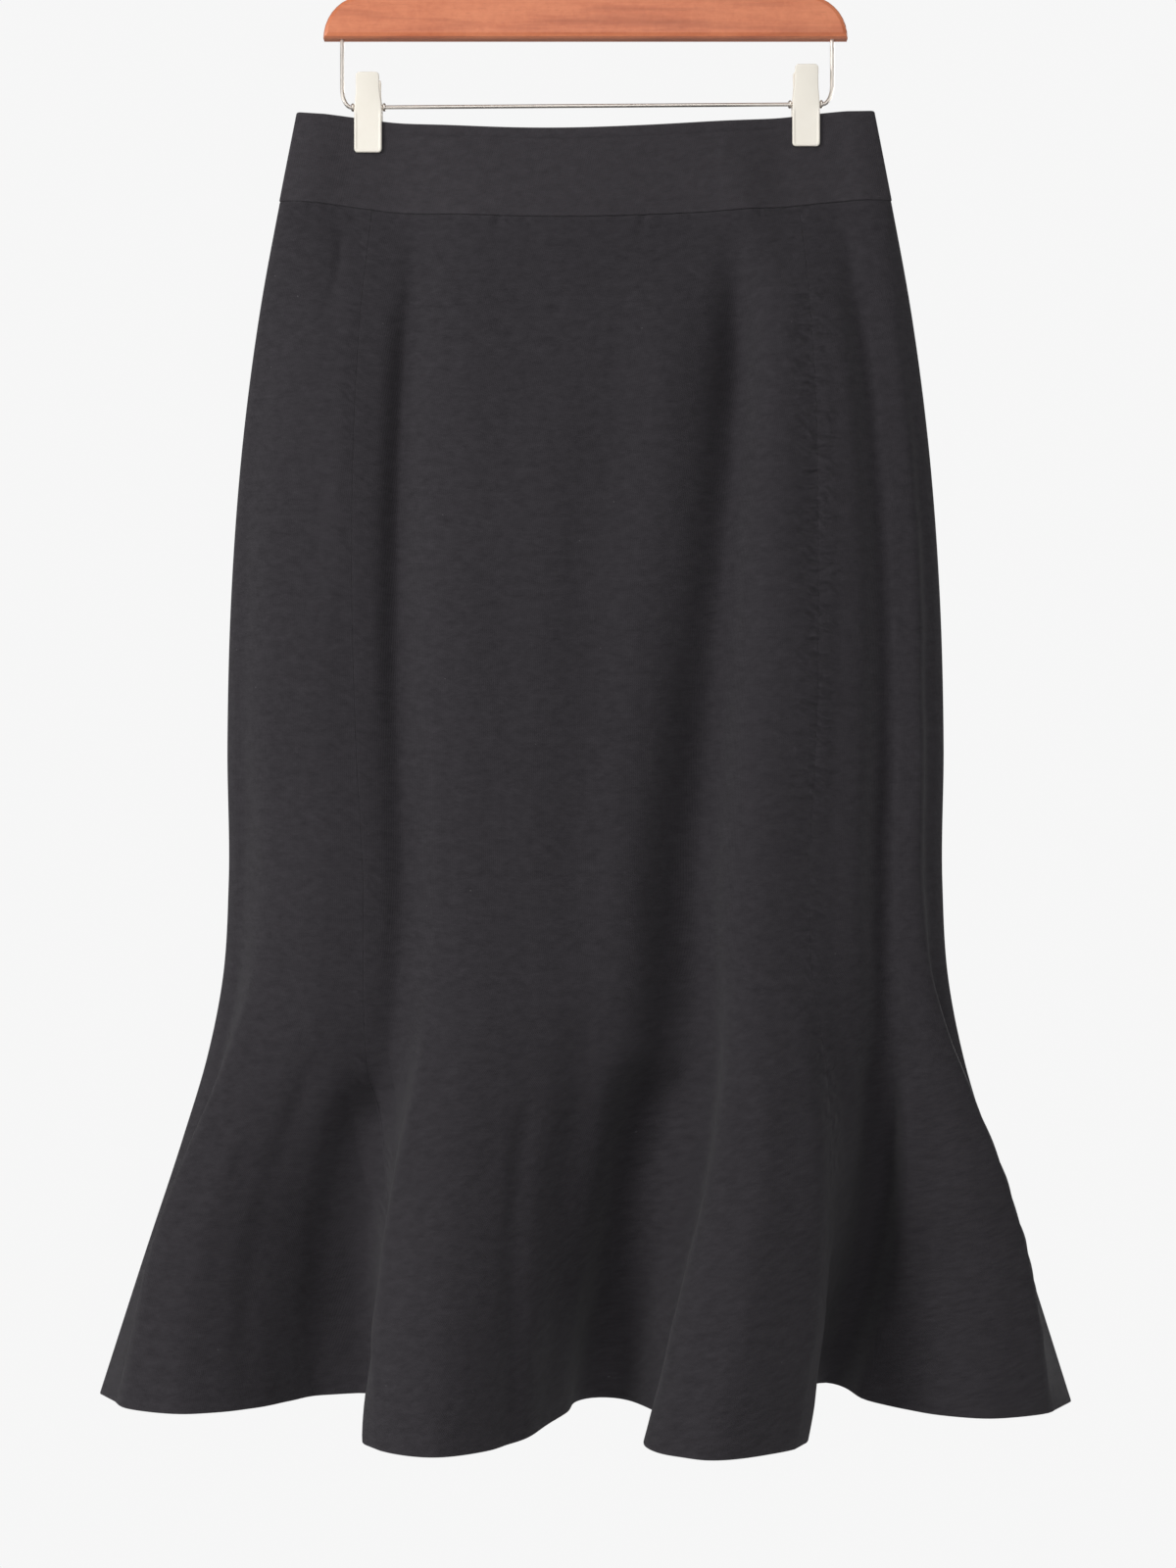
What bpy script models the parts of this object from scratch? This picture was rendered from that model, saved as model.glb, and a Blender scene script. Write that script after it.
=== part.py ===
"""A mermaid fishtail skirt on a wooden clip hanger.

The origin is where a rail holds the hook: the inside of the hook's top. X runs to the right,
the front of the skirt faces -Y, and Z is up. The skirt is six gores and a two-piece waistband.
"""

import math
from collections import namedtuple

import bmesh
import bpy
import numpy as np
from mathutils import Vector

MM = 0.001

# Heights of the garment
WAIST_TOP_Z = -158.7 * MM
BAND_HEIGHT = 57.5 * MM
WAIST_SEAM_Z = WAIST_TOP_Z - BAND_HEIGHT
KNEE_Z = -646.6 * MM
HEM_Z = -970.2 * MM

# Cloth
CLOTH_WALL = 1.6 * MM
BAND_WALL = 2.6 * MM
SEAM_GAP = 0.3 * MM
SEAM_EASE = 0.12 * MM
SIDE_EASE_SHARE = 0.3
CLAMPED_HALF_DEPTH = 1.65 * MM
HEAD_DEPTH_SHARE = 0.28
HEAD_REACH_SHARE = 0.35
SIDE_TURN_HEM_IN = 11 * MM
SIDE_TURN_HEM_OUT = 17 * MM
RIGHT_CORNER_DROP = 5 * MM

# Hanger
BAR_BOTTOM_Z = -114 * MM
BAR_LENGTH = 331 * MM
BAR_THICK = 13 * MM
BAR_EDGE = 3 * MM
BAR_SHOULDER_WIDTH = 25.5 * MM
BAR_SHOULDER_HEIGHT = 27 * MM
BAR_CENTRE_HEIGHT = 44 * MM
HOOK_WIRE_RADIUS = 1.9 * MM
HOOK_RADIUS = 21.5 * MM
HOOK_STEM_TOP_Z = -51 * MM
HOOK_STEM_IN_BAR = 16 * MM
ROD_RADIUS = 1.25 * MM
ROD_Z = -155.6 * MM
ROD_TILT = 1.1 * MM
ROD_LEFT_X = -154 * MM
ROD_RIGHT_X = 156 * MM
ROD_BEND_WIDTH = 6 * MM
ROD_BEND_HEIGHT = 12 * MM
ROD_IN_BAR = 9 * MM
RUNNING_GAP = 0.3 * MM

# Clips
CLIP_WIDTH = 17.4 * MM
CLIP_TOP_WIDTH = 13 * MM
CLIP_PLATE = 1.3 * MM
CLIP_TOP_SPREAD = 9 * MM
CLIP_ROD_SPREAD = 4.6 * MM
JAW_GAP = 0.55 * MM
CLIP_CORNER = 2.2 * MM
CLIP_JAW_START = 9 * MM
CLIP_TAPER_START = 4 * MM
EAR_WALL = 1 * MM
EAR_INSET = 1.6 * MM
EAR_REACH = 2.6 * MM
SPRING_WIRE_RADIUS = 0.45 * MM
SPRING_TURNS = 4
COLLAR_LENGTH = 1.9 * MM
COLLAR_RADIUS = 2.6 * MM

# turn is the radius of the rounding at each side.
Section = namedtuple("Section", "name z half_width front back turn")
SECTIONS = [
    Section("waist top", -158.7, 181.5, 10, 10, 3.2),
    Section("waist seam", -216.2, 192.6, 16, 15, 4.5),
    Section("high hip", -287.0, 205.4, 26, 24, 7),
    Section("hip", -361.4, 215.3, 34, 32, 9),
    Section("low hip", -460.6, 223.1, 41, 39, 11),
    Section("thigh", -559.8, 225.8, 45, 43, 12),
    Section("knee", -646.6, 225.0, 48, 46, 12),
    Section("above flare", -708.6, 228.9, 49, 47, 12),
    Section("flare start", -758.2, 238.8, 50, 48, 12),
    Section("flare", -807.8, 253.7, 50, 48, 12),
    Section("low flare", -882.2, 278.2, 50, 48, 12),
    Section("hem", -970.2, 306.5, 50, 48, 12),
]

# A row for each fold, left to right. waist and knee are shares of the half width. At the hem, x is
# the fold's middle, out is how far it stands from the side seams' plane, left and right are the two
# halves of its head, and drop is how far it hangs below the left corner. swell is at the knee.
Fold = namedtuple("Fold", "name waist knee x out left right drop swell")
FRONT_FOLDS = [
    Fold("left flare", -0.84, -0.82, -247, 47, 38, 42, 1, 2),
    Fold("left hollow", -0.58, -0.545, -168, 5, 18, 44, 1, -7),
    Fold("left cone", -0.33, -0.30, -90, 115, 41, 47, 10, 4),
    Fold("middle hollow", 0.42, 0.21, 12, 6, 22, 33, 4, -13),
    Fold("right cone", 0.59, 0.46, 72, 118, 36, 60, 11, 7),
    Fold("right hollow", 0.83, 0.82, 154, -32, 22, 18, 1, -9),
    Fold("right flare", 0.90, 0.895, 246, 43, 46, 40, 5, 1),
]
BACK_FOLDS = [
    Fold("left side", -0.88, -0.88, -244, 32, 36, 20, 2, -2),
    Fold("left cone", -0.64, -0.66, -180, 106, 38, 40, 8, 5),
    Fold("left hollow", -0.36, -0.39, -98, 46, 26, 24, 3, -9),
    Fold("middle cone", 0.02, -0.04, -8, 116, 44, 42, 9, 5),
    Fold("right hollow", 0.36, 0.33, 76, 48, 22, 24, 4, -8),
    Fold("right cone", 0.62, 0.60, 152, 112, 40, 38, 9, 6),
    Fold("right side", 0.90, 0.895, 246, 40, 30, 36, 3, -1),
]

# A row for each gore's seam: shares of the half width down to the knee, then the fold whose head
# the seam follows to the hem, and which side of that head.
Seam = namedtuple("Seam", "name waist knee fold side")
FRONT_SEAMS = [
    Seam("left", -0.70, -0.61, "left cone", "left"),
    Seam("right", 0.70, 0.61, "right cone", "right"),
]
BACK_SEAMS = [
    Seam("left", -0.70, -0.60, "left cone", "right"),
    Seam("right", 0.70, 0.61, "right cone", "middle"),
]

# The waist sags between the clips, deepest left of the middle.
Sag = namedtuple("Sag", "x drop")
WAIST_SAG = [
    Sag(-200, 0.0),
    Sag(-165, 2.6),
    Sag(-115, 8.8),
    Sag(-45, 13.0),
    Sag(60, 10.2),
    Sag(120, 5.4),
    Sag(160, 1.2),
    Sag(200, 0.0),
]

Clip = namedtuple("Clip", "name x top bottom")
CLIPS = [
    Clip("left", -137.3, 20, 29.5),
    Clip("right", 139.2, 23, 27.5),
]

Finish = namedtuple("Finish", "name color roughness metallic")
BAND_CLOTH = Finish("band knit", (0.042, 0.040, 0.043), 0.9, 0)
BODY_CLOTH = Finish("body knit", (0.034, 0.033, 0.035), 0.92, 0)
BAR_WOOD = Finish("varnished wood", (0.52, 0.20, 0.11), 0.35, 0)
WIRE_STEEL = Finish("plated wire", (0.62, 0.58, 0.55), 0.25, 1)
CLIP_CREAM = Finish("cream clip", (0.88, 0.83, 0.74), 0.4, 0)

SAMPLES_PER_HEAD = 8
SIDE_STEPS = [1.3, 4.5]
SEAM_STEPS = [1.2]
CENTRE_COLUMNS = 25
SIDE_COLUMNS = 15
BAND_COLUMNS = 30
ROWS_ABOVE_KNEE = 8
ROWS_BELOW_KNEE = 8
BAND_ROWS = 2


def hermite(knots, values, at):
    """A smooth curve through values at knots, with tangents from each knot's two neighbours."""
    knots = np.asarray(knots, float)
    values = np.asarray(values, float)
    slopes = np.gradient(values, knots, axis=0)
    at = np.clip(at, knots[0], knots[-1])
    cell = np.clip(np.searchsorted(knots, at, side="right") - 1, 0, len(knots) - 2)
    width = knots[cell + 1] - knots[cell]
    s = (at - knots[cell]) / width
    if values.ndim > 1:
        s = s[:, None]
        width = width[:, None]
    start = (2 * s**3 - 3 * s**2 + 1) * values[cell] + (s**3 - 2 * s**2 + s) * width * slopes[cell]
    end = (3 * s**2 - 2 * s**3) * values[cell + 1] + (s**3 - s**2) * width * slopes[cell + 1]
    return start + end


def section_at(z):
    """Half width, front depth, back depth and side radius of the skirt at one height."""
    depths = [-section.z * MM for section in SECTIONS]
    sizes = [section[2:] for section in SECTIONS]
    return hermite(depths, sizes, np.array([-z]))[0] * MM


def sag_at(x):
    return hermite([row.x * MM for row in WAIST_SAG], [row.drop * MM for row in WAIST_SAG], x)


def flare_at(z):
    """0 down to the knee, then 1 at the hem, following the outline's own widening."""
    knee = section_at(KNEE_Z)[0]
    hem = section_at(HEM_Z)[0]
    return float(np.clip((section_at(min(z, KNEE_Z))[0] - knee) / (hem - knee), 0, 1))


def lens(share):
    """Depth of the unfolded skirt as a share of its depth in the middle."""
    return (1 - abs(share) ** 3) ** 0.5


def fold_heads(folds, z, depth, half_width):
    """Three ring points for each fold at one height, left to right, as (x, out, drop)."""
    down = np.clip((WAIST_SEAM_Z - z) / (WAIST_SEAM_Z - KNEE_Z), 0, 1)
    in_band = np.clip((WAIST_TOP_Z - z) / BAND_HEIGHT, 0, 1)
    flare = flare_at(z)
    shares = [fold.waist + (fold.knee - fold.waist) * down for fold in folds]
    shares = [-1, *shares, 1]
    outs = [0, *[fold.out for fold in folds], 0]
    points = []
    for place, fold in enumerate(folds, start=1):
        for side in (-1, 0, 1):
            beside = place + side
            share = shares[place] + HEAD_REACH_SHARE * (shares[beside] - shares[place])
            swell = fold.swell * MM * (0.35 + 0.65 * down) * in_band * (1 if side == 0 else 0.45)
            upper = Vector((share * half_width, lens(share) * depth + swell, 0))
            head = {-1: -fold.left, 0: 0, 1: fold.right}[side]
            hem_out = fold.out + HEAD_DEPTH_SHARE * (outs[beside] - fold.out)
            hem = Vector((fold.x + head, hem_out, fold.drop)) * MM
            points.append(upper.lerp(hem, flare))
    return points


def ring(z):
    """The closed ring of cloth at one height, finely sampled from the left side seam.

    It returns rows of (x, y, drop) for the front and for the back, each from left to right. drop is
    how far the cloth hangs below the ring's height.
    """
    half_width, front, back, radius = section_at(z)
    flare = flare_at(z)
    turn_x = half_width - radius * (1 - flare) - SIDE_TURN_HEM_IN * flare
    turn_out = radius * (1 - flare) + SIDE_TURN_HEM_OUT * flare
    drop = RIGHT_CORNER_DROP * flare
    front_heads = fold_heads(FRONT_FOLDS, z, front, half_width)
    back_heads = fold_heads(BACK_FOLDS, z, back, half_width)
    around = [(-half_width, 0, 0), (-turn_x, -turn_out, 0)]
    around += [(head.x, -head.y, head.z) for head in front_heads]
    around += [(turn_x, -turn_out, drop), (half_width, 0, drop), (turn_x, turn_out, drop)]
    around += [(head.x, head.y, head.z) for head in reversed(back_heads)]
    around += [(-turn_x, turn_out, 0)]
    points = np.array(around)
    count = len(points)
    padded = np.vstack([points[-3:], points, points[:4]])
    steps = np.sqrt(np.linalg.norm(np.diff(padded[:, :2], axis=0), axis=1))
    knots = np.concatenate([[0], np.cumsum(steps)])
    at = np.concatenate([
        np.linspace(knots[3 + cell], knots[4 + cell], SAMPLES_PER_HEAD, endpoint=False)
        for cell in range(count)
    ] + [[knots[3 + count]]])
    fine = hermite(knots, padded, at)
    corner = (len(FRONT_FOLDS) * 3 + 3) * SAMPLES_PER_HEAD
    return fine[: corner + 1], fine[corner:][::-1]


def lengths_along(line):
    steps = np.linalg.norm(np.diff(line[:, :2], axis=0), axis=1)
    return np.concatenate([[0], np.cumsum(steps)])


def seam_length(seam, folds, side_index, z):
    """How far along the front or the back ring a seam lies at one height."""

    def by_share(height):
        line = ring(height)[side_index]
        down = np.clip((WAIST_SEAM_Z - height) / (WAIST_SEAM_Z - KNEE_Z), 0, 1)
        share = seam.waist + (seam.knee - seam.waist) * down
        return float(np.interp(share * section_at(height)[0], line[:, 0], lengths_along(line)))

    if z >= KNEE_Z:
        return by_share(z)
    knee_line = lengths_along(ring(KNEE_Z)[side_index])
    hem_line = lengths_along(ring(HEM_Z)[side_index])
    fold = [row.name for row in folds].index(seam.fold)
    head = {"left": 0, "middle": 1, "right": 2}[seam.side]
    hem_sample = (2 + fold * 3 + head) * SAMPLES_PER_HEAD
    knee_share = by_share(KNEE_Z) / knee_line[-1]
    hem_share = hem_line[hem_sample] / hem_line[-1]
    share = knee_share + (hem_share - knee_share) * flare_at(z)
    return share * lengths_along(ring(z)[side_index])[-1]


def clamp_at_clips(points, z):
    """The two walls are pressed together under the clips, and part again below the band."""
    fade = 1 - np.clip((WAIST_TOP_Z - 0.6 * BAND_HEIGHT - z) / (1.6 * BAND_HEIGHT), 0, 1)
    fade = fade**2 * (3 - 2 * fade)
    press = np.zeros(len(points))
    for clip in CLIPS:
        press += np.exp(-(((points[:, 0] - clip.x * MM) / (30 * MM)) ** 4))
    size = np.abs(points[:, 1])
    pressed = np.minimum(size, CLAMPED_HALF_DEPTH + (size - CLAMPED_HALF_DEPTH) * (1 - press * fade))
    return np.sign(points[:, 1]) * pressed


def cloth_points(side_index, z, start, end, columns, wall):
    """A row of points of one piece at one height, evenly spaced from one seam to the next."""
    line = ring(z)[side_index]
    along = lengths_along(line)
    start = along[0] if start is None else start
    end = along[-1] if end is None else end
    at = np.linspace(start, end, columns + 1)[1:-1]
    for seam, side, inward in ((start, along[0], 1), (end, along[-1], -1)):
        at_side = seam == side
        margin = SEAM_GAP / 2 + (SIDE_EASE_SHARE * wall if at_side else SEAM_EASE)
        steps = SIDE_STEPS if at_side else SEAM_STEPS
        at = np.append(at, [seam + inward * reach for reach in [margin, *np.array(steps) * MM]])
    at.sort()
    points = np.column_stack([np.interp(at, along, line[:, axis]) for axis in range(3)])
    depth = clamp_at_clips(points, z)
    sag_fade = np.clip((z - HEM_Z) / (WAIST_SEAM_Z - HEM_Z), 0, 1)
    height = z - sag_at(points[:, 0]) * sag_fade - points[:, 2]
    return np.column_stack([points[:, 0], depth, height])


def make_material(finish):
    material = bpy.data.materials.get(finish.name) or bpy.data.materials.new(finish.name)
    material.use_nodes = True
    shader = material.node_tree.nodes["Principled BSDF"]
    shader.inputs["Base Color"].default_value = (*finish.color, 1)
    shader.inputs["Roughness"].default_value = finish.roughness
    shader.inputs["Metallic"].default_value = finish.metallic
    material.diffuse_color = (*finish.color, 1)
    return material


def add_object(name, data, finish, collection):
    obj = bpy.data.objects.new(name, data)
    collection.objects.link(obj)
    data.materials.append(make_material(finish))
    return obj


def smooth_shading(mesh, angle=40):
    mesh.shade_smooth()
    mesh.set_sharp_from_angle(angle=math.radians(angle))


def add_cloth(name, rows, wall, outside, finish, collection):
    """An open grid through rows of points, given its wall by Solidify. outside is -1 on the front."""
    mesh = bpy.data.meshes.new(name)
    build = bmesh.new()
    grid = [[build.verts.new(point) for point in row] for row in rows]
    for upper, lower in zip(grid, grid[1:]):
        for column in range(len(upper) - 1):
            corners = [upper[column], lower[column], lower[column + 1], upper[column + 1]]
            build.faces.new(corners if outside < 0 else corners[::-1])
    build.to_mesh(mesh)
    build.free()
    smooth_shading(mesh)
    obj = add_object(name, mesh, finish, collection)
    solidify = obj.modifiers.new("wall", "SOLIDIFY")
    solidify.thickness = wall
    solidify.offset = 0
    return obj


def add_waistband(name, side_index, outside, collection):
    heights = np.linspace(WAIST_TOP_Z, WAIST_SEAM_Z + SEAM_GAP / 2 + SEAM_EASE, BAND_ROWS + 1)
    rows = [cloth_points(side_index, z, None, None, BAND_COLUMNS, BAND_WALL) for z in heights]
    return add_cloth(name, rows, BAND_WALL, outside, BAND_CLOTH, collection)


def add_gore(name, side_index, outside, seams, columns, collection):
    """One gore between two seams, where None stands for the side seam at that end."""
    folds = (FRONT_FOLDS, BACK_FOLDS)[side_index]
    above = np.linspace(WAIST_SEAM_Z - SEAM_GAP / 2 - SEAM_EASE, KNEE_Z, ROWS_ABOVE_KNEE, endpoint=False)
    below = np.linspace(KNEE_Z, HEM_Z, ROWS_BELOW_KNEE + 1)
    rows = []
    for z in [*above, *below]:
        ends = [None if seam is None else seam_length(seam, folds, side_index, z) for seam in seams]
        rows.append(cloth_points(side_index, z, *ends, columns, CLOTH_WALL))
    return add_cloth(name, rows, CLOTH_WALL, outside, BODY_CLOTH, collection)


def add_skirt(collection):
    add_waistband("waistband_front", 0, -1, collection)
    add_waistband("waistband_back", 1, 1, collection)
    for side_index, (side, outside, seams) in enumerate([
        ("front", -1, FRONT_SEAMS),
        ("back", 1, BACK_SEAMS),
    ]):
        left, right = seams
        add_gore(f"gore_{side}_left", side_index, outside, (None, left), SIDE_COLUMNS, collection)
        add_gore(f"gore_{side}_centre", side_index, outside, (left, right), CENTRE_COLUMNS, collection)
        add_gore(f"gore_{side}_right", side_index, outside, (right, None), SIDE_COLUMNS, collection)


def wire_object(name, route, radius, finish, collection, sides=4):
    """A round wire along a route of points, with filled ends. sides is the bevel resolution."""
    curve = bpy.data.curves.new(name, "CURVE")
    curve.dimensions = "3D"
    curve.bevel_depth = radius
    curve.bevel_resolution = sides
    curve.use_fill_caps = True
    spline = curve.splines.new("POLY")
    spline.points.add(len(route) - 1)
    for point, place in zip(spline.points, route):
        point.co = (*place, 1)
    return add_object(name, curve, finish, collection)


def arc(centre, width, height, start, end, steps):
    """Points of an elliptical arc in the XZ plane, with angles in degrees from +X."""
    angles = np.radians(np.linspace(start, end, steps + 1))
    return [
        Vector((centre[0] + width * math.cos(angle), 0, centre[1] + height * math.sin(angle)))
        for angle in angles
    ]


def mesh_from_curve(obj):
    """The same object as a mesh, with its caps welded, so that a Boolean can cut it."""
    evaluated = obj.evaluated_get(bpy.context.evaluated_depsgraph_get())
    mesh = bpy.data.meshes.new_from_object(evaluated)
    build = bmesh.new()
    build.from_mesh(mesh)
    bmesh.ops.remove_doubles(build, verts=build.verts, dist=0.00001)
    bmesh.ops.recalc_face_normals(build, faces=build.faces)
    build.to_mesh(mesh)
    build.free()
    made = bpy.data.objects.new(obj.name + "_mesh", mesh)
    made.matrix_world = obj.matrix_world
    for collection in obj.users_collection:
        collection.objects.link(made)
    name = obj.name
    bpy.data.objects.remove(obj)
    made.name = name
    return made


def cylinder(name, radius, length, place, axis, collection, finish=None, segments=24):
    mesh = bpy.data.meshes.new(name)
    build = bmesh.new()
    bmesh.ops.create_cone(
        build, cap_ends=True, segments=segments, radius1=radius, radius2=radius, depth=length
    )
    build.to_mesh(mesh)
    build.free()
    obj = bpy.data.objects.new(name, mesh)
    collection.objects.link(obj)
    obj.location = place
    obj.rotation_mode = "QUATERNION"
    obj.rotation_quaternion = Vector((0, 0, 1)).rotation_difference(Vector(axis))
    if finish:
        mesh.materials.append(make_material(finish))
    else:
        obj.hide_render = True
        obj.display_type = "WIRE"
    return obj


def boolean(obj, operation, other):
    modifier = obj.modifiers.new(operation.lower() + "_" + other.name, "BOOLEAN")
    modifier.operation = operation
    modifier.object = other
    modifier.solver = "EXACT"
    return modifier


def outline_curve(name, points, thick, edge, collection, finish):
    """A flat outline in the XZ plane, extruded along Y with rounded edges."""
    curve = bpy.data.curves.new(name, "CURVE")
    curve.dimensions = "2D"
    curve.fill_mode = "BOTH"
    curve.extrude = thick / 2 - edge
    curve.bevel_depth = edge
    curve.bevel_resolution = 1
    curve.offset = -edge
    spline = curve.splines.new("POLY")
    spline.points.add(len(points) - 1)
    spline.use_cyclic_u = True
    for point, place in zip(spline.points, points):
        point.co = (place[0], place[1], 0, 1)
    obj = add_object(name, curve, finish, collection)
    obj.rotation_euler = (math.radians(90), 0, 0)
    return obj


def bar_outline():
    """The bar from the front: a straight underside, round shoulders and an arched top."""
    half = BAR_LENGTH / 2
    inner = half - BAR_SHOULDER_WIDTH
    right = [(half, 0)]
    for angle in np.radians(np.linspace(8, 78, 8)):
        right.append((
            inner + BAR_SHOULDER_WIDTH * math.cos(angle),
            BAR_SHOULDER_HEIGHT * math.sin(angle),
        ))
    for share in np.linspace(0, 1, 10)[:-1]:
        rise = (BAR_CENTRE_HEIGHT - BAR_SHOULDER_HEIGHT) * (1 - math.cos(math.pi * share)) / 2
        right.append((inner * (1 - share), BAR_SHOULDER_HEIGHT + rise))
    left = [(-x, z) for x, z in reversed(right)]
    return [*right, (0, BAR_CENTRE_HEIGHT), *left]


def rod_z_at(x):
    return ROD_Z + ROD_TILT * x / ROD_RIGHT_X


def add_bar(collection, cutters):
    bar = outline_curve("hanger_bar", bar_outline(), BAR_THICK, BAR_EDGE, collection, BAR_WOOD)
    bar.location.z = BAR_BOTTOM_Z
    bpy.context.view_layer.update()
    bar = mesh_from_curve(bar)
    smooth_shading(bar.data, 50)
    for side, x in (("left", ROD_LEFT_X), ("right", ROD_RIGHT_X)):
        hole = cylinder(
            f"rod_hole_{side}", ROD_RADIUS + RUNNING_GAP, 2 * (ROD_IN_BAR + RUNNING_GAP),
            (x, 0, BAR_BOTTOM_Z), (0, 0, 1), cutters,
        )
        boolean(bar, "DIFFERENCE", hole)
    top = BAR_BOTTOM_Z + BAR_CENTRE_HEIGHT
    stem_hole = cylinder(
        "hook_hole", HOOK_WIRE_RADIUS + RUNNING_GAP, 2 * (HOOK_STEM_IN_BAR + RUNNING_GAP),
        (0, 0, top), (0, 0, 1), cutters,
    )
    boolean(bar, "DIFFERENCE", stem_hole)


def add_hook(collection):
    centre_z = HOOK_WIRE_RADIUS - HOOK_RADIUS
    bar_top = BAR_BOTTOM_Z + BAR_CENTRE_HEIGHT
    loop = arc((0, centre_z), HOOK_RADIUS, HOOK_RADIUS, 205, -52, 26)
    leave = loop[-1]
    neck = []
    for share in np.linspace(0.2, 1, 5):
        ease = share * (2 - share)
        neck.append(Vector((leave.x * (1 - ease), 0, leave.z + (HOOK_STEM_TOP_Z - leave.z) * share)))
    stem = [Vector((0, 0, bar_top - HOOK_STEM_IN_BAR))]
    wire_object("hook", [*loop, *neck, *stem], HOOK_WIRE_RADIUS, WIRE_STEEL, collection, 3)
    collar = bpy.data.meshes.new("hook_collar")
    inner = HOOK_WIRE_RADIUS + RUNNING_GAP
    profile = [(inner, 6), (4, 6), (4.6, 5.2), (4.6, 2.2), (6.5, 1.6), (6.5, 0.3), (inner, 0.3)]
    ring_profile = [(x if x == inner else x * MM, 0, z * MM) for x, z in profile]
    edges = [(i, (i + 1) % len(profile)) for i in range(len(profile))]
    collar.from_pydata(ring_profile, edges, [])
    obj = add_object("hook_collar", collar, WIRE_STEEL, collection)
    obj.location.z = bar_top
    turn(obj, 28)


def turn(obj, steps):
    """A closed profile in the XZ plane, turned about Z."""
    screw = obj.modifiers.new("turn", "SCREW")
    screw.steps = steps
    screw.render_steps = steps
    screw.use_merge_vertices = True
    screw.merge_threshold = 0.00001
    screw.use_smooth_shade = True
    screw.use_normal_calculate = True


def add_rod(collection):
    """One bent wire: down from the bar at each side, round a bend, and level between the clips."""
    in_bar_z = BAR_BOTTOM_Z + ROD_IN_BAR
    halves = []
    for x, start, end in ((ROD_LEFT_X, 180, 270), (ROD_RIGHT_X, 0, -90)):
        bend_x = x - math.copysign(ROD_BEND_WIDTH, x)
        centre = (bend_x, rod_z_at(bend_x) + ROD_BEND_HEIGHT)
        leg = Vector((x, 0, in_bar_z))
        halves.append([leg, *arc(centre, ROD_BEND_WIDTH, ROD_BEND_HEIGHT, start, end, 8)])
    wire_object("rod_wire", [*halves[0], *reversed(halves[1])], ROD_RADIUS, WIRE_STEEL, collection, 3)


def plate_depth(along, above):
    """How far a clip's plate stands from the rod's plane. along is up from the rod."""
    if along <= 0:
        jaw = CLAMPED_HALF_DEPTH + (BAND_WALL + CLIP_PLATE) / 2 + JAW_GAP
        share = min(1, -along / CLIP_JAW_START)
        return CLIP_ROD_SPREAD + (jaw - CLIP_ROD_SPREAD) * share * (2 - share)
    return CLIP_ROD_SPREAD + (CLIP_TOP_SPREAD - CLIP_ROD_SPREAD) * (along / above) ** 1.2


def add_plate(clip, facing, collection, cutters):
    """One plate of a clip, with two ears that reach in to the rod. facing is -1 on the front."""
    side = "front" if facing < 0 else "back"
    above = clip.top * MM
    below = clip.bottom * MM
    corner = CLIP_CORNER
    rod_z = rod_z_at(clip.x * MM)
    heights = [-below, -below + 0.3 * corner, -below + corner, -CLIP_JAW_START, -CLIP_TAPER_START, 0]
    heights += [above * share for share in (0.3, 0.6, 0.85, 1)]
    mesh = bpy.data.meshes.new(f"clip_{clip.name}_{side}")
    build = bmesh.new()
    grid = []
    for height in heights:
        taper = (height + CLIP_TAPER_START) / (above * 0.6 + CLIP_TAPER_START)
        taper = min(1, max(0, taper))
        half = (CLIP_WIDTH + (CLIP_TOP_WIDTH - CLIP_WIDTH) * taper) / 2
        from_end = min(height + below, above - height)
        if from_end < corner:
            half -= corner - math.sqrt(max(0, corner**2 - (corner - from_end) ** 2)) * 0.98
        depth = facing * plate_depth(height, above)
        grid.append([
            build.verts.new((clip.x * MM + half * across, depth, rod_z + height))
            for across in (-1, -0.5, 0, 0.5, 1)
        ])
    for lower, upper in zip(grid, grid[1:]):
        for column in range(len(lower) - 1):
            corners = [lower[column], lower[column + 1], upper[column + 1], upper[column]]
            build.faces.new(corners if facing < 0 else corners[::-1])
    build.to_mesh(mesh)
    build.free()
    smooth_shading(mesh, 30)
    plate = add_object(f"clip_{clip.name}_{side}", mesh, CLIP_CREAM, collection)
    wall = plate.modifiers.new("wall", "SOLIDIFY")
    wall.thickness = CLIP_PLATE
    wall.offset = 0
    ear_x = CLIP_WIDTH / 2 - EAR_INSET
    if facing > 0:
        ear_x -= EAR_WALL + RUNNING_GAP
    for across in (-1, 1):
        ear = bpy.data.meshes.new("ear")
        build = bmesh.new()
        bmesh.ops.create_cube(build, size=1)
        build.to_mesh(ear)
        build.free()
        block = bpy.data.objects.new(f"ear_{clip.name}_{side}_{across}", ear)
        block.scale = (EAR_WALL, CLIP_ROD_SPREAD + EAR_REACH, 2 * EAR_REACH)
        block.location = (
            clip.x * MM + across * ear_x, facing * (CLIP_ROD_SPREAD - EAR_REACH) / 2, rod_z
        )
        block.hide_render = True
        block.display_type = "WIRE"
        cutters.objects.link(block)
        boolean(plate, "UNION", block)
    bore = cylinder(
        f"bore_{clip.name}_{side}", ROD_RADIUS + RUNNING_GAP, CLIP_WIDTH * 1.5,
        (clip.x * MM, 0, rod_z), (1, 0, 0), cutters, segments=20,
    )
    boolean(plate, "DIFFERENCE", bore)


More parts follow.
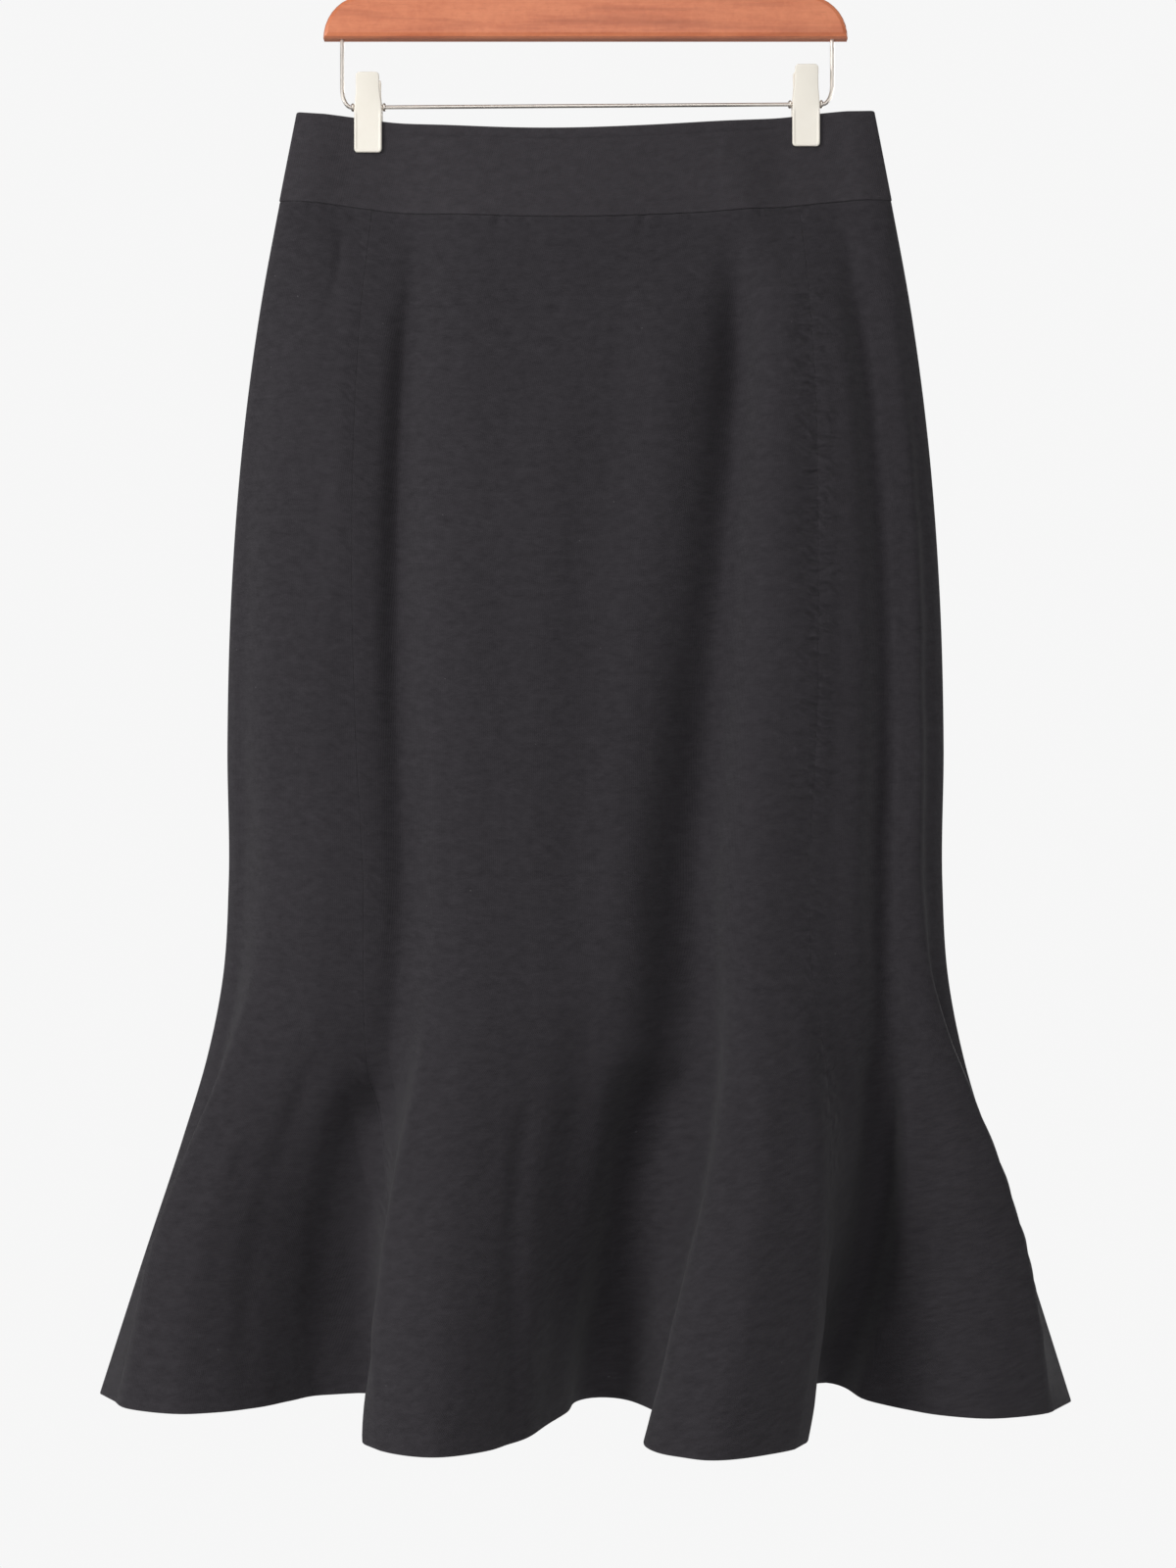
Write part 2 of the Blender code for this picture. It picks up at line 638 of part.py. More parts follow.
def add_spring(clip, collection):
    """A torsion spring round the rod between the ears, with a leg inside each plate."""
    rod_z = rod_z_at(clip.x * MM)
    coil_radius = ROD_RADIUS + RUNNING_GAP + SPRING_WIRE_RADIUS
    half = SPRING_TURNS * SPRING_WIRE_RADIUS * 1.35
    steps = SPRING_TURNS * 12
    route = []
    for step in range(steps + 1):
        angle = math.radians(90) + 2 * math.pi * SPRING_TURNS * step / steps
        x = clip.x * MM - half + 2 * half * step / steps
        route.append(Vector((
            x, coil_radius * math.cos(angle), rod_z + coil_radius * math.sin(angle)
        )))
    first = Vector((route[0].x, 3.3 * MM, rod_z + 5.5 * MM))
    last = Vector((route[-1].x, -3.3 * MM, rod_z + 5.5 * MM))
    wire_object(
        f"clip_{clip.name}_spring", [first, *route, last], SPRING_WIRE_RADIUS, WIRE_STEEL, collection, 1
    )


def add_collar(clip, across, collection):
    """A short sleeve on the rod that keeps the clip from sliding."""
    side = "left" if across < 0 else "right"
    x = clip.x * MM + across * (CLIP_WIDTH / 2 + RUNNING_GAP + COLLAR_LENGTH / 2)
    mesh = bpy.data.meshes.new(f"clip_{clip.name}_collar_{side}")
    inner = ROD_RADIUS + RUNNING_GAP
    half = COLLAR_LENGTH / 2
    round_off = 0.6 * MM
    profile = [
        (inner, half), (COLLAR_RADIUS - round_off, half), (COLLAR_RADIUS, half - round_off),
        (COLLAR_RADIUS, round_off - half), (COLLAR_RADIUS - round_off, -half), (inner, -half),
    ]
    edges = [(i, (i + 1) % len(profile)) for i in range(len(profile))]
    mesh.from_pydata([(radius, 0, along) for radius, along in profile], edges, [])
    obj = add_object(mesh.name, mesh, WIRE_STEEL, collection)
    obj.location = (x, 0, rod_z_at(x))
    obj.rotation_euler = (0, math.radians(90), 0)
    turn(obj, 16)


def main():
    for obj in list(bpy.data.objects):
        bpy.data.objects.remove(obj)
    scene = bpy.context.scene
    parts = bpy.data.collections.new("fishtail_skirt")
    cutters = bpy.data.collections.new("cutters")
    scene.collection.children.link(parts)
    scene.collection.children.link(cutters)
    cutters.hide_render = True
    add_skirt(parts)
    add_bar(parts, cutters)
    add_hook(parts)
    add_rod(parts)
    for clip in CLIPS:
        for facing in (-1, 1):
            add_plate(clip, facing, parts, cutters)
        add_spring(clip, parts)
        for across in (-1, 1):
            add_collar(clip, across, parts)


main()
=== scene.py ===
import math
from functools import cache
from types import SimpleNamespace

import bpy
import numpy as np
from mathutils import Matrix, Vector


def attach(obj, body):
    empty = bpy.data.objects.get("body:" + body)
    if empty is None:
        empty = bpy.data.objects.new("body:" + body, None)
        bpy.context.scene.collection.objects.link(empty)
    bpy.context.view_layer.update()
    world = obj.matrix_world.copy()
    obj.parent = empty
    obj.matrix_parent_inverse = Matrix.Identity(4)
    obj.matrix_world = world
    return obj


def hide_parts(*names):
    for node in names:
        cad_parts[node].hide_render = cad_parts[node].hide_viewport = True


# A black knit fishtail skirt, held by two clips on a wooden hanger. Everything is in metres, the
# front faces -Y, and the origin is where a rail holds the hook.

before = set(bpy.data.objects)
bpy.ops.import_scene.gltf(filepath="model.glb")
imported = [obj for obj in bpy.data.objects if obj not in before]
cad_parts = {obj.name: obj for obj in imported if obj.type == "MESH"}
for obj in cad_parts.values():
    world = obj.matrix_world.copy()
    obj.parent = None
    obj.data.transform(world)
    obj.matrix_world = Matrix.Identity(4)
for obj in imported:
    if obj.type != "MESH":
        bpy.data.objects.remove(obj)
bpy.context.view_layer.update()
mm = 0.001
print("frame loaded:", len(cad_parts), "nodes")


def tableOf(columns, *rows):
    names = columns.split()
    return [SimpleNamespace(**dict(zip(names, row))) for row in rows]


# The cloth's form. These sizes match the solids of the same names.
skirt = {
    "waistTop": -158.7 * mm,
    "waistSeam": -216.2 * mm,
    "knee": -646.6 * mm,
    "hem": -970.2 * mm,
    "clothWall": 1.6 * mm,
    "bandWall": 2.6 * mm,
    "seamGap": 0.05 * mm,
    "clampedHalfDepth": 1.65 * mm,
    "headDepth": 0.28,
    "headReach": 0.35,
    "sideTurnIn": 11 * mm,
    "sideTurnOut": 17 * mm,
    "rightCornerDrop": 5 * mm,
    "samplesPerHead": 14,
    "rowStep": 3.1 * mm,
    "hemTurning": 20 * mm,
    "hemTurningWall": 0.8 * mm,
    "thinnestEdge": 0.16,
    "swellAtWaist": 0.35,
    "swellAtEnds": 0.45,
}

# turn is the radius of the rounding at each side, all in mm
sections = tableOf(
    "z halfWidth front back turn",
    (-158.7, 181.5, 10, 10, 3.2),
    (-216.2, 192.6, 16, 15, 4.5),
    (-287.0, 205.4, 26, 24, 7),
    (-361.4, 215.3, 34, 32, 9),
    (-460.6, 223.1, 41, 39, 11),
    (-559.8, 225.8, 45, 43, 12),
    (-646.6, 225.0, 48, 46, 12),
    (-708.6, 228.9, 49, 47, 12),
    (-758.2, 238.8, 50, 48, 12),
    (-807.8, 253.7, 50, 48, 12),
    (-882.2, 278.2, 50, 48, 12),
    (-970.2, 306.5, 50, 48, 12),
)

# Left to right. waist and knee are shares of the half width. At the hem, x is the fold's middle, out
# how far it stands from the side seams, left and right the halves of its head, drop how far it hangs.
foldColumns = "name waist knee x out left right drop swell"
frontFolds = tableOf(
    foldColumns,
    ("left flare", -0.84, -0.82, -247, 47, 38, 42, 1, 2),
    ("left hollow", -0.58, -0.545, -168, 5, 18, 44, 1, -7),
    ("left cone", -0.33, -0.30, -90, 115, 41, 47, 10, 4),
    ("middle hollow", 0.42, 0.21, 12, 6, 22, 33, 4, -13),
    ("right cone", 0.59, 0.46, 72, 118, 36, 60, 11, 7),
    ("right hollow", 0.83, 0.82, 154, -32, 22, 18, 1, -9),
    ("right flare", 0.90, 0.895, 246, 43, 46, 40, 5, 1),
)
backFolds = tableOf(
    foldColumns,
    ("left side", -0.88, -0.88, -244, 32, 36, 20, 2, -2),
    ("left cone", -0.64, -0.66, -180, 106, 38, 40, 8, 5),
    ("left hollow", -0.36, -0.39, -98, 46, 26, 24, 3, -9),
    ("middle cone", 0.02, -0.04, -8, 116, 44, 42, 9, 5),
    ("right hollow", 0.36, 0.33, 76, 48, 22, 24, 4, -8),
    ("right cone", 0.62, 0.60, 152, 112, 40, 38, 9, 6),
    ("right side", 0.90, 0.895, 246, 40, 30, 36, 3, -1),
)
folds = (frontFolds, backFolds)

# Shares of the half width down to the knee, then the head of the fold that the seam follows.
seamColumns = "name waist knee fold side"
frontSeams = tableOf(
    seamColumns,
    ("left", -0.70, -0.61, "left cone", "left"),
    ("right", 0.70, 0.61, "right cone", "right"),
)
backSeams = tableOf(
    seamColumns,
    ("left", -0.70, -0.60, "left cone", "right"),
    ("right", 0.70, 0.61, "right cone", "middle"),
)
seams = (frontSeams, backSeams)

# How far the waist sags between the clips, in mm
waistSag = {
    "x": (-200, -165, -115, -45, 60, 120, 160, 200),
    "drop": (0, 2.6, 8.8, 13.0, 10.2, 5.4, 1.2, 0),
}

# Soft creases, in mm. Each runs down from a fold's head, or part of the way towards the next one
# (toward above 0) or the one before. Depths below 0 are troughs. A lean above 0 steepens the left flank.
creaseColumns = "fold toward top bottom widthTop widthBottom depth lean"
frontCreases = tableOf(
    creaseColumns,
    ("left hollow", 0.15, -205, -968, 10, 17, -8.8, 0.28),
    ("left hollow", -0.80, -226, -292, 3.5, 4.5, -1.5, 0),
    ("left hollow", -0.52, -240, -560, 6, 14, 1.4, 0.1),
    ("middle hollow", -0.20, -235, -880, 19, 30, 6.5, 0),
    ("middle hollow", 0.33, -208, -950, 13, 31, -18.5, 0.18),
    ("right hollow", -0.20, -240, -840, 10, 16, 2.6, 0),
    ("right hollow", 0.30, -206, -880, 12, 19, -8.5, 0),
    ("right cone", 0.35, -262, -520, 7, 10, -1.5, -0.1),
    ("left cone", -0.10, -250, -760, 12, 20, 1.2, 0.1),
    ("left cone", 0.35, -300, -720, 16, 26, 1.4, -0.1),
    ("left cone", 0.50, -360, -700, 14, 22, -0.8, 0.1),
    ("middle hollow", -0.40, -700, -968, 13, 20, -2.4, 0),
    ("middle hollow", -0.04, -740, -968, 20, 26, -12.0, 0),
    ("left hollow", 0.10, -750, -968, 14, 22, -9.0, 0),
    ("left cone", 0.34, -760, -966, 7, 11, -2.6, 0.1),
    ("left cone", -0.38, -720, -966, 8, 12, 1.6, -0.1),
    ("right cone", -0.10, -740, -966, 8, 12, -1.6, 0.1),
    ("right cone", 0.34, -700, -966, 9, 14, 2.0, -0.1),
    ("right hollow", -0.10, -735, -968, 9, 13, -2.6, 0),
    ("right hollow", 0.36, -745, -968, 10, 16, 6.5, 0),
    ("left flare", 0.46, -745, -966, 7, 14, -2.4, 0.1),
    ("left flare", -0.34, -790, -966, 9, 16, 2.0, -0.1),
    ("right flare", -0.40, -730, -966, 7, 12, -1.2, 0.1),
    ("right flare", 0.20, -800, -966, 10, 16, 1.0, 0),
)
backCreases = tableOf(
    creaseColumns,
    ("left hollow", -0.12, -206, -940, 8, 15, -7.5, -0.25),
    ("left hollow", 0.30, -240, -900, 12, 20, 3.0, 0),
    ("right hollow", 0.10, -208, -960, 9, 19, -10.0, 0.25),
    ("left cone", -0.30, -236, -590, 7, 13, 1.7, 0.1),
    ("right cone", 0.52, -224, -318, 3.5, 5, -2.0, 0),
    ("middle cone", -0.30, -290, -640, 18, 28, 1.9, 0.1),
    ("middle cone", 0.34, -330, -700, 13, 20, -1.5, -0.1),
    ("middle cone", 0.36, -750, -966, 8, 12, -2.1, 0.1),
    ("middle cone", -0.40, -710, -966, 8, 13, 2.0, -0.1),
    ("left cone", 0.30, -770, -966, 7, 12, -2.0, 0.1),
    ("left side", 0.55, -700, -960, 10, 16, -4.0, 0),
    ("right cone", -0.34, -740, -966, 8, 12, -2.2, -0.1),
    ("right side", -0.55, -215, -900, 7, 12, -5.6, 0.2),
    ("left side", 0.40, -780, -966, 8, 14, 1.8, 0),
)
creases = (frontCreases, backCreases)


def hermite(knots, values, at):
    # a smooth curve through the values
    knots = np.asarray(knots, float)
    values = np.asarray(values, float)
    slopes = np.gradient(values, knots, axis=0)
    at = np.clip(at, knots[0], knots[-1])
    cell = np.clip(np.searchsorted(knots, at, side="right") - 1, 0, len(knots) - 2)
    width = knots[cell + 1] - knots[cell]
    s = (at - knots[cell]) / width
    if values.ndim > 1:
        s, width = s[:, None], width[:, None]
    start = (2 * s**3 - 3 * s**2 + 1) * values[cell] + (s**3 - 2 * s**2 + s) * width * slopes[cell]
    end = (3 * s**2 - 2 * s**3) * values[cell + 1] + (s**3 - s**2) * width * slopes[cell + 1]
    return start + end


def smooth(value):
    value = np.clip(value, 0, 1)
    return value * value * (3 - 2 * value)


def between(first, second, share):
    return first + (second - first) * share


def bell(distance, reach, power=2):
    return np.exp(-((distance / reach) ** power))


def unit(vectors):
    return vectors / np.maximum(np.linalg.norm(vectors, axis=-1, keepdims=True), 1e-9)


@cache
def sectionAt(z):
    # half width, front depth, back depth and side radius
    depths = [-row.z * mm for row in sections]
    sizes = [(row.halfWidth, row.front, row.back, row.turn) for row in sections]
    return hermite(depths, sizes, np.array([-z]))[0] * mm


def sagAt(x):
    return hermite(np.array(waistSag["x"]) * mm, np.array(waistSag["drop"]) * mm, x)


def flareAt(z):
    # how much of the widening below the knee is done
    heights = skirt["knee"], skirt["hem"], min(z, skirt["knee"])
    knee, hem, here = [sectionAt(height)[0] for height in heights]
    return float(np.clip((here - knee) / (hem - knee), 0, 1))


def lens(share):
    return (1 - abs(share) ** 3) ** 0.5


def downAt(z):
    return np.clip((skirt["waistSeam"] - z) / (skirt["waistSeam"] - skirt["knee"]), 0, 1)


def foldHeads(rows, z, depth, halfWidth):
    # three points for each fold at one height, left to right, as x, out and drop
    down = downAt(z)
    inBand = np.clip((skirt["waistTop"] - z) / (skirt["waistTop"] - skirt["waistSeam"]), 0, 1)
    flare = flareAt(z)
    shares = [-1, *[between(fold.waist, fold.knee, down) for fold in rows], 1]
    outs = [0, *[fold.out for fold in rows], 0]
    points = []
    for place, fold in enumerate(rows, start=1):
        for side in (-1, 0, 1):
            beside = place + side
            share = between(shares[place], shares[beside], skirt["headReach"])
            swell = fold.swell * mm * between(skirt["swellAtWaist"], 1, down) * inBand
            swell *= 1 if side == 0 else skirt["swellAtEnds"]
            upper = Vector((share * halfWidth, lens(share) * depth + swell, 0))
            head = {-1: -fold.left, 0: 0, 1: fold.right}[side]
            hemOut = between(fold.out, outs[beside], skirt["headDepth"])
            hem = Vector((fold.x + head, hemOut, fold.drop)) * mm
            points.append(upper.lerp(hem, flare))
    return points


@cache
def ring(z):
    # the cloth at one height: rows of x, y and drop, front and back, left to right
    halfWidth, front, back, radius = sectionAt(z)
    flare = flareAt(z)
    turnX = halfWidth - radius * (1 - flare) - skirt["sideTurnIn"] * flare
    turnOut = radius * (1 - flare) + skirt["sideTurnOut"] * flare
    drop = skirt["rightCornerDrop"] * flare
    around = [(-halfWidth, 0, 0), (-turnX, -turnOut, 0)]
    around += [(head.x, -head.y, head.z) for head in foldHeads(frontFolds, z, front, halfWidth)]
    around += [(turnX, -turnOut, drop), (halfWidth, 0, drop), (turnX, turnOut, drop)]
    around += [(head.x, head.y, head.z) for head in reversed(foldHeads(backFolds, z, back, halfWidth))]
    around += [(-turnX, turnOut, 0)]
    points = np.array(around)
    count = len(points)
    padded = np.vstack([points[-3:], points, points[:4]])
    steps = np.sqrt(np.linalg.norm(np.diff(padded[:, :2], axis=0), axis=1))
    knots = np.concatenate([[0], np.cumsum(steps)])
    at = np.concatenate([
        np.linspace(knots[3 + cell], knots[4 + cell], skirt["samplesPerHead"], endpoint=False)
        for cell in range(count)
    ] + [[knots[3 + count]]])
    fine = hermite(knots, padded, at)
    corner = (len(frontFolds) * 3 + 3) * skirt["samplesPerHead"]
    return fine[: corner + 1], fine[corner:][::-1]


def readAt(at, along, table):
    return np.column_stack([np.interp(at, along, column) for column in table.T])


def lengthsAlong(line):
    steps = np.linalg.norm(np.diff(line[:, :2], axis=0), axis=1)
    return np.concatenate([[0], np.cumsum(steps)])


def headLength(sideIndex, foldIndex, z, head=1):
    # how far along the front or back a fold's head lies, where 0 and 2 are the head's two ends
    line = ring(z)[sideIndex]
    sample = (2 + foldIndex * 3 + head) * skirt["samplesPerHead"]
    return lengthsAlong(line)[np.clip(sample, 0, len(line) - 1)]


def seamLength(seam, sideIndex, z):
    def byShare(height):
        line = ring(height)[sideIndex]
        share = between(seam.waist, seam.knee, downAt(height))
        return float(np.interp(share * sectionAt(height)[0], line[:, 0], lengthsAlong(line)))

    def whole(height):
        return lengthsAlong(ring(height)[sideIndex])[-1]

    if z >= skirt["knee"]:
        return byShare(z)
    foldIndex = [row.name for row in folds[sideIndex]].index(seam.fold)
    head = {"left": 0, "middle": 1, "right": 2}[seam.side]
    kneeShare = byShare(skirt["knee"]) / whole(skirt["knee"])
    hemShare = headLength(sideIndex, foldIndex, skirt["hem"], head) / whole(skirt["hem"])
    return between(kneeShare, hemShare, flareAt(z)) * whole(z)


# The clips that hold the band. Heights are from the rod, in mm.
clips = tableOf(
    "name x top bottom",
    ("left", -137.3, 20, 29.5),
    ("right", 139.2, 23, 27.5),
)
# How the clips hold the cloth. fadeStart and fadeLength are shares of the band's height, from its top.
grip = {
    "halfWidth": 10 * mm,
    "reach": 30 * mm,
    "fadeStart": 0.6,
    "fadeLength": 1.6,
    "flatReach": 22 * mm,
    "flatFade": 12 * mm,
}


def clampAtClips(points, z):
    # the two walls are pressed together under the clips
    bandHeight = skirt["waistTop"] - skirt["waistSeam"]
    below = skirt["waistTop"] - grip["fadeStart"] * bandHeight - z
    fade = 1 - smooth(below / (grip["fadeLength"] * bandHeight))
    press = np.zeros(len(points))
    for clip in clips:
        beyond = np.maximum(np.abs(points[:, 0] - clip.x * mm) - grip["halfWidth"], 0)
        press += bell(beyond, grip["reach"])
    size = np.abs(points[:, 1])
    clamped = skirt["clampedHalfDepth"]
    pressed = np.minimum(size, clamped + (size - clamped) * (1 - press * fade))
    return np.sign(points[:, 1]) * pressed


# Fine unevenness of the sewn cloth
ease = {
    "seamPucker": 0.42 * mm,
    "seamPuckerReach": 13 * mm,
    "seamPuckerLength": 11 * mm,
    "bandPucker": 0.42 * mm,
    "bandPuckerReach": 9 * mm,
    "bandPuckerLength": 15 * mm,
    "puckerFade": 12 * mm,
    "puckerSlope": 0.45,
    "seamDip": 0.5 * mm,
    "seamDipReach": 3 * mm,
    "patchLength": 97 * mm,
    "creaseWander": 2.2 * mm,
    "creaseWanderTurns": 5.1,
    "creasePulse": 0.18,
    "creasePulseTurns": 9,
    "creaseRise": 0.16,
    "creaseRiseLeast": 14 * mm,
    "creaseFall": 0.35,
    "creaseToHem": -955 * mm,
    "wander": 0.55 * mm,
    "wanderOfBand": 0.3,
    "calmSides": 25 * mm,
    "calmSidesAtHem": 70 * mm,
    "topGroove": 7.2 * mm,
    "topGrooveDepth": 0.8 * mm,
    "topGrooveWidth": 1.3 * mm,
    "seed": 7,
}
# where each seam is puckered, with side 0 at the front: heights in mm and a strength
puckerRuns = tableOf(
    "side seam top bottom strength",
    (0, "right", -275, -590, 1.25),
    (0, "right", -575, -900, 0.45),
    (0, "right", -216, -285, 0.35),
    (0, "left", -216, -940, 0.22),
    (1, "left", -216, -620, 0.55),
    (1, "left", -620, -940, 0.25),
    (1, "right", -240, -540, 0.75),
    (1, "right", -540, -940, 0.3),
)
# two crossing waves each, as turns a metre along and down the cloth, and the first one's phase
wanderWaves = tableOf(
    "strength along down alongToo downToo phase",
    (1, 31, 17, -12, 43, 10),
    (0.6, 83, -29, 37, 71, 12),
)
rng = np.random.default_rng(ease["seed"])
wavePhases = rng.uniform(0, 2 * math.pi, 24)


def wave(at, length, phase):
    return np.sin(2 * math.pi * at / length + wavePhases[phase])


def puckerStrength(sideIndex, seamName, z):
    total = 0
    for run in puckerRuns:
        if run.side == sideIndex and run.seam == seamName:
            fade = ease["puckerFade"]
            under = smooth((run.top * mm + fade - z) / (2 * fade))
            over = smooth((z - run.bottom * mm + fade) / (2 * fade))
            total += run.strength * under * over
    return total


def creaseRelief(sideIndex, z, along):
    # how far the creases lift the cloth at one height, in metres
    relief = np.zeros(len(along))
    names = [row.name for row in folds[sideIndex]]
    for index, crease in enumerate(creases[sideIndex]):
        top, bottom = crease.top * mm, crease.bottom * mm
        if not bottom - 20 * mm < z < top + 4 * mm:
            continue
        place = names.index(crease.fold)
        here = headLength(sideIndex, place, z)
        step = 1 if crease.toward >= 0 else -1
        beside = np.clip(place + step, 0, len(names) - 1)
        middle = between(here, headLength(sideIndex, beside, z), abs(crease.toward))
        share = np.clip((top - z) / (top - bottom), 0, 1)
        turn = ease["creaseWanderTurns"] * share + wavePhases[index % 24]
        middle += ease["creaseWander"] * math.sin(turn)
        width = between(crease.widthTop, crease.widthBottom, share) * mm
        start = smooth((top - z) / max(ease["creaseRise"] * (top - bottom), ease["creaseRiseLeast"]))
        # a crease that reaches the hem doesn't fade out
        fall = ease["creaseFall"] * (top - bottom)
        end = 1 if bottom < ease["creaseToHem"] else smooth((z - bottom) / fall)
        turn = ease["creasePulseTurns"] * share + wavePhases[(index + 7) % 24]
        pulse = 1 + ease["creasePulse"] * math.sin(turn)
        across = (along - middle) / width
        # one flank is steeper than the other, as in hung cloth
        lean = np.where(across > 0, 1 + crease.lean, 1 - crease.lean)
        relief += crease.depth * mm * start * end * pulse * bell(across, lean)
    return relief


def softNormals(line, depth, along, outside):
    # directions off the form, evened out so that no line shows along it
    step, reach = 2 * mm, 9 * mm
    grid = np.linspace(along[0], along[-1], int((along[-1] - along[0]) / step) + 2)
    form = readAt(grid, along, np.column_stack([line[:, 0], depth]))
    tangent = np.gradient(form, grid, axis=0)
    beside = round(3 * reach / step)
    weights = np.exp(-0.5 * (np.arange(-beside, beside + 1) * step / reach) ** 2)
    padded = np.pad(tangent, ((beside, beside), (0, 0)), mode="edge")
    soft = unit(np.column_stack([np.convolve(padded[:, axis], weights, mode="valid") for axis in (0, 1)]))
    return grid, np.column_stack([-soft[:, 1], soft[:, 0]]) * outside


# how far the columns next to a cut edge lie from it
edgeSteps = [0, 0.05 * mm, 0.12 * mm, 0.3 * mm, 0.8 * mm, 1.8 * mm]


def clothRow(sideIndex, z, start, end, steps, isBand):
    # one row of the wall's middle: its points, how far along the form they lie, and the pucker
    line = ring(z)[sideIndex]
    along = lengthsAlong(line)
    start = along[0] if start is None else start
    end = along[-1] if end is None else end
    at = between(start, end, steps)
    for index, reach in enumerate(edgeSteps):
        at[index] = start + reach
        at[-1 - index] = end - reach
    points = readAt(at, along, line)
    depth = clampAtClips(points, z)
    grid, lineNormals = softNormals(line, clampAtClips(line, z), along, -1 if sideIndex == 0 else 1)
    normal = readAt(at, grid, lineNormals)
    relief = np.zeros(len(at))
    pucker = np.zeros(len(at))
    if isBand:
        fromGroove = skirt["waistTop"] - z - ease["topGroove"]
        relief -= ease["topGrooveDepth"] * bell(fromGroove, ease["topGrooveWidth"])
    else:
        relief += creaseRelief(sideIndex, z, at)
        nearBand = bell(skirt["waistSeam"] - z, ease["bandPuckerReach"], 1.5)
        length = ease["bandPuckerLength"]
        waves = wave(at, length, 3) + 0.7 * wave(at, length * 0.61, 4)
        patches = 0.5 + 0.5 * wave(at, ease["patchLength"], 5)
        relief += ease["bandPucker"] * nearBand * waves * patches
        pucker += 0.35 * nearBand
        for index, seam in enumerate(seams[sideIndex]):
            reach = at - seamLength(seam, sideIndex, z)
            strength = puckerStrength(sideIndex, seam.name, z)
            slope = z + ease["puckerSlope"] * np.abs(reach)
            length = ease["seamPuckerLength"]
            waves = wave(slope, length, 6 + index) + 0.8 * wave(slope, length * 1.63, 8 + index)
            relief += ease["seamPucker"] * strength * bell(reach, ease["seamPuckerReach"]) * waves
            # the seam itself pulls in a little
            relief -= ease["seamDip"] * (0.1 + strength) * bell(reach, ease["seamDipReach"])
            pucker += strength * bell(reach, 0.85 * ease["seamPuckerReach"])
    wander = np.zeros(len(at))
    for row in wanderWaves:
        first = np.sin(at * row.along + z * row.down + wavePhases[row.phase])
        second = np.sin(at * row.alongToo + z * row.downToo + wavePhases[row.phase + 1])
        wander += row.strength * first * second
    # the sides and the cloth under the clips stay flat
    fromSides = np.minimum(at - along[0], along[-1] - at)
    calm = smooth(fromSides / between(ease["calmSides"], ease["calmSidesAtHem"], flareAt(z)))
    press = np.zeros(len(at))
    for clip in clips:
        press += bell(points[:, 0] - clip.x * mm, grip["flatReach"], 4)
    calm *= 1 - press * smooth((z - skirt["waistSeam"]) / grip["flatFade"] + 1)
    relief = (relief + ease["wander"] * wander * (ease["wanderOfBand"] if isBand else 1)) * calm
    sagFade = np.clip((z - skirt["hem"]) / (skirt["waistSeam"] - skirt["hem"]), 0, 1)
    x, y = points[:, 0] + normal[:, 0] * relief, depth + normal[:, 1] * relief
    height = z - sagAt(points[:, 0]) * sagFade - points[:, 2]
    return np.column_stack([x, y, height]), at, np.clip(pucker, 0, 1)


def wallFaces(index):
    # the two skins of a wall and its four edges, from its grid of point numbers
    a, b, c, d = index[:-1, :-1], index[1:, :-1], index[1:, 1:], index[:-1, 1:]
    skin = np.stack([a, b, c, d], axis=-1).reshape(-1, 4)
    faces = [skin, (skin + index.size)[:, ::-1]]
    for edge, turned in ((index[:, 0], False), (index[:, -1], True), (index[0], True), (index[-1], False)):
        below = edge + index.size
        quads = np.stack([edge[:-1], below[:-1], below[1:], edge[1:]], axis=-1)
        faces.append(quads[:, ::-1] if turned else quads)
    return np.vstack(faces)


def objectOf(name, data):
    made = bpy.data.objects.new(name, data)
    bpy.context.scene.collection.objects.link(made)
    return made


clothPieces = {}


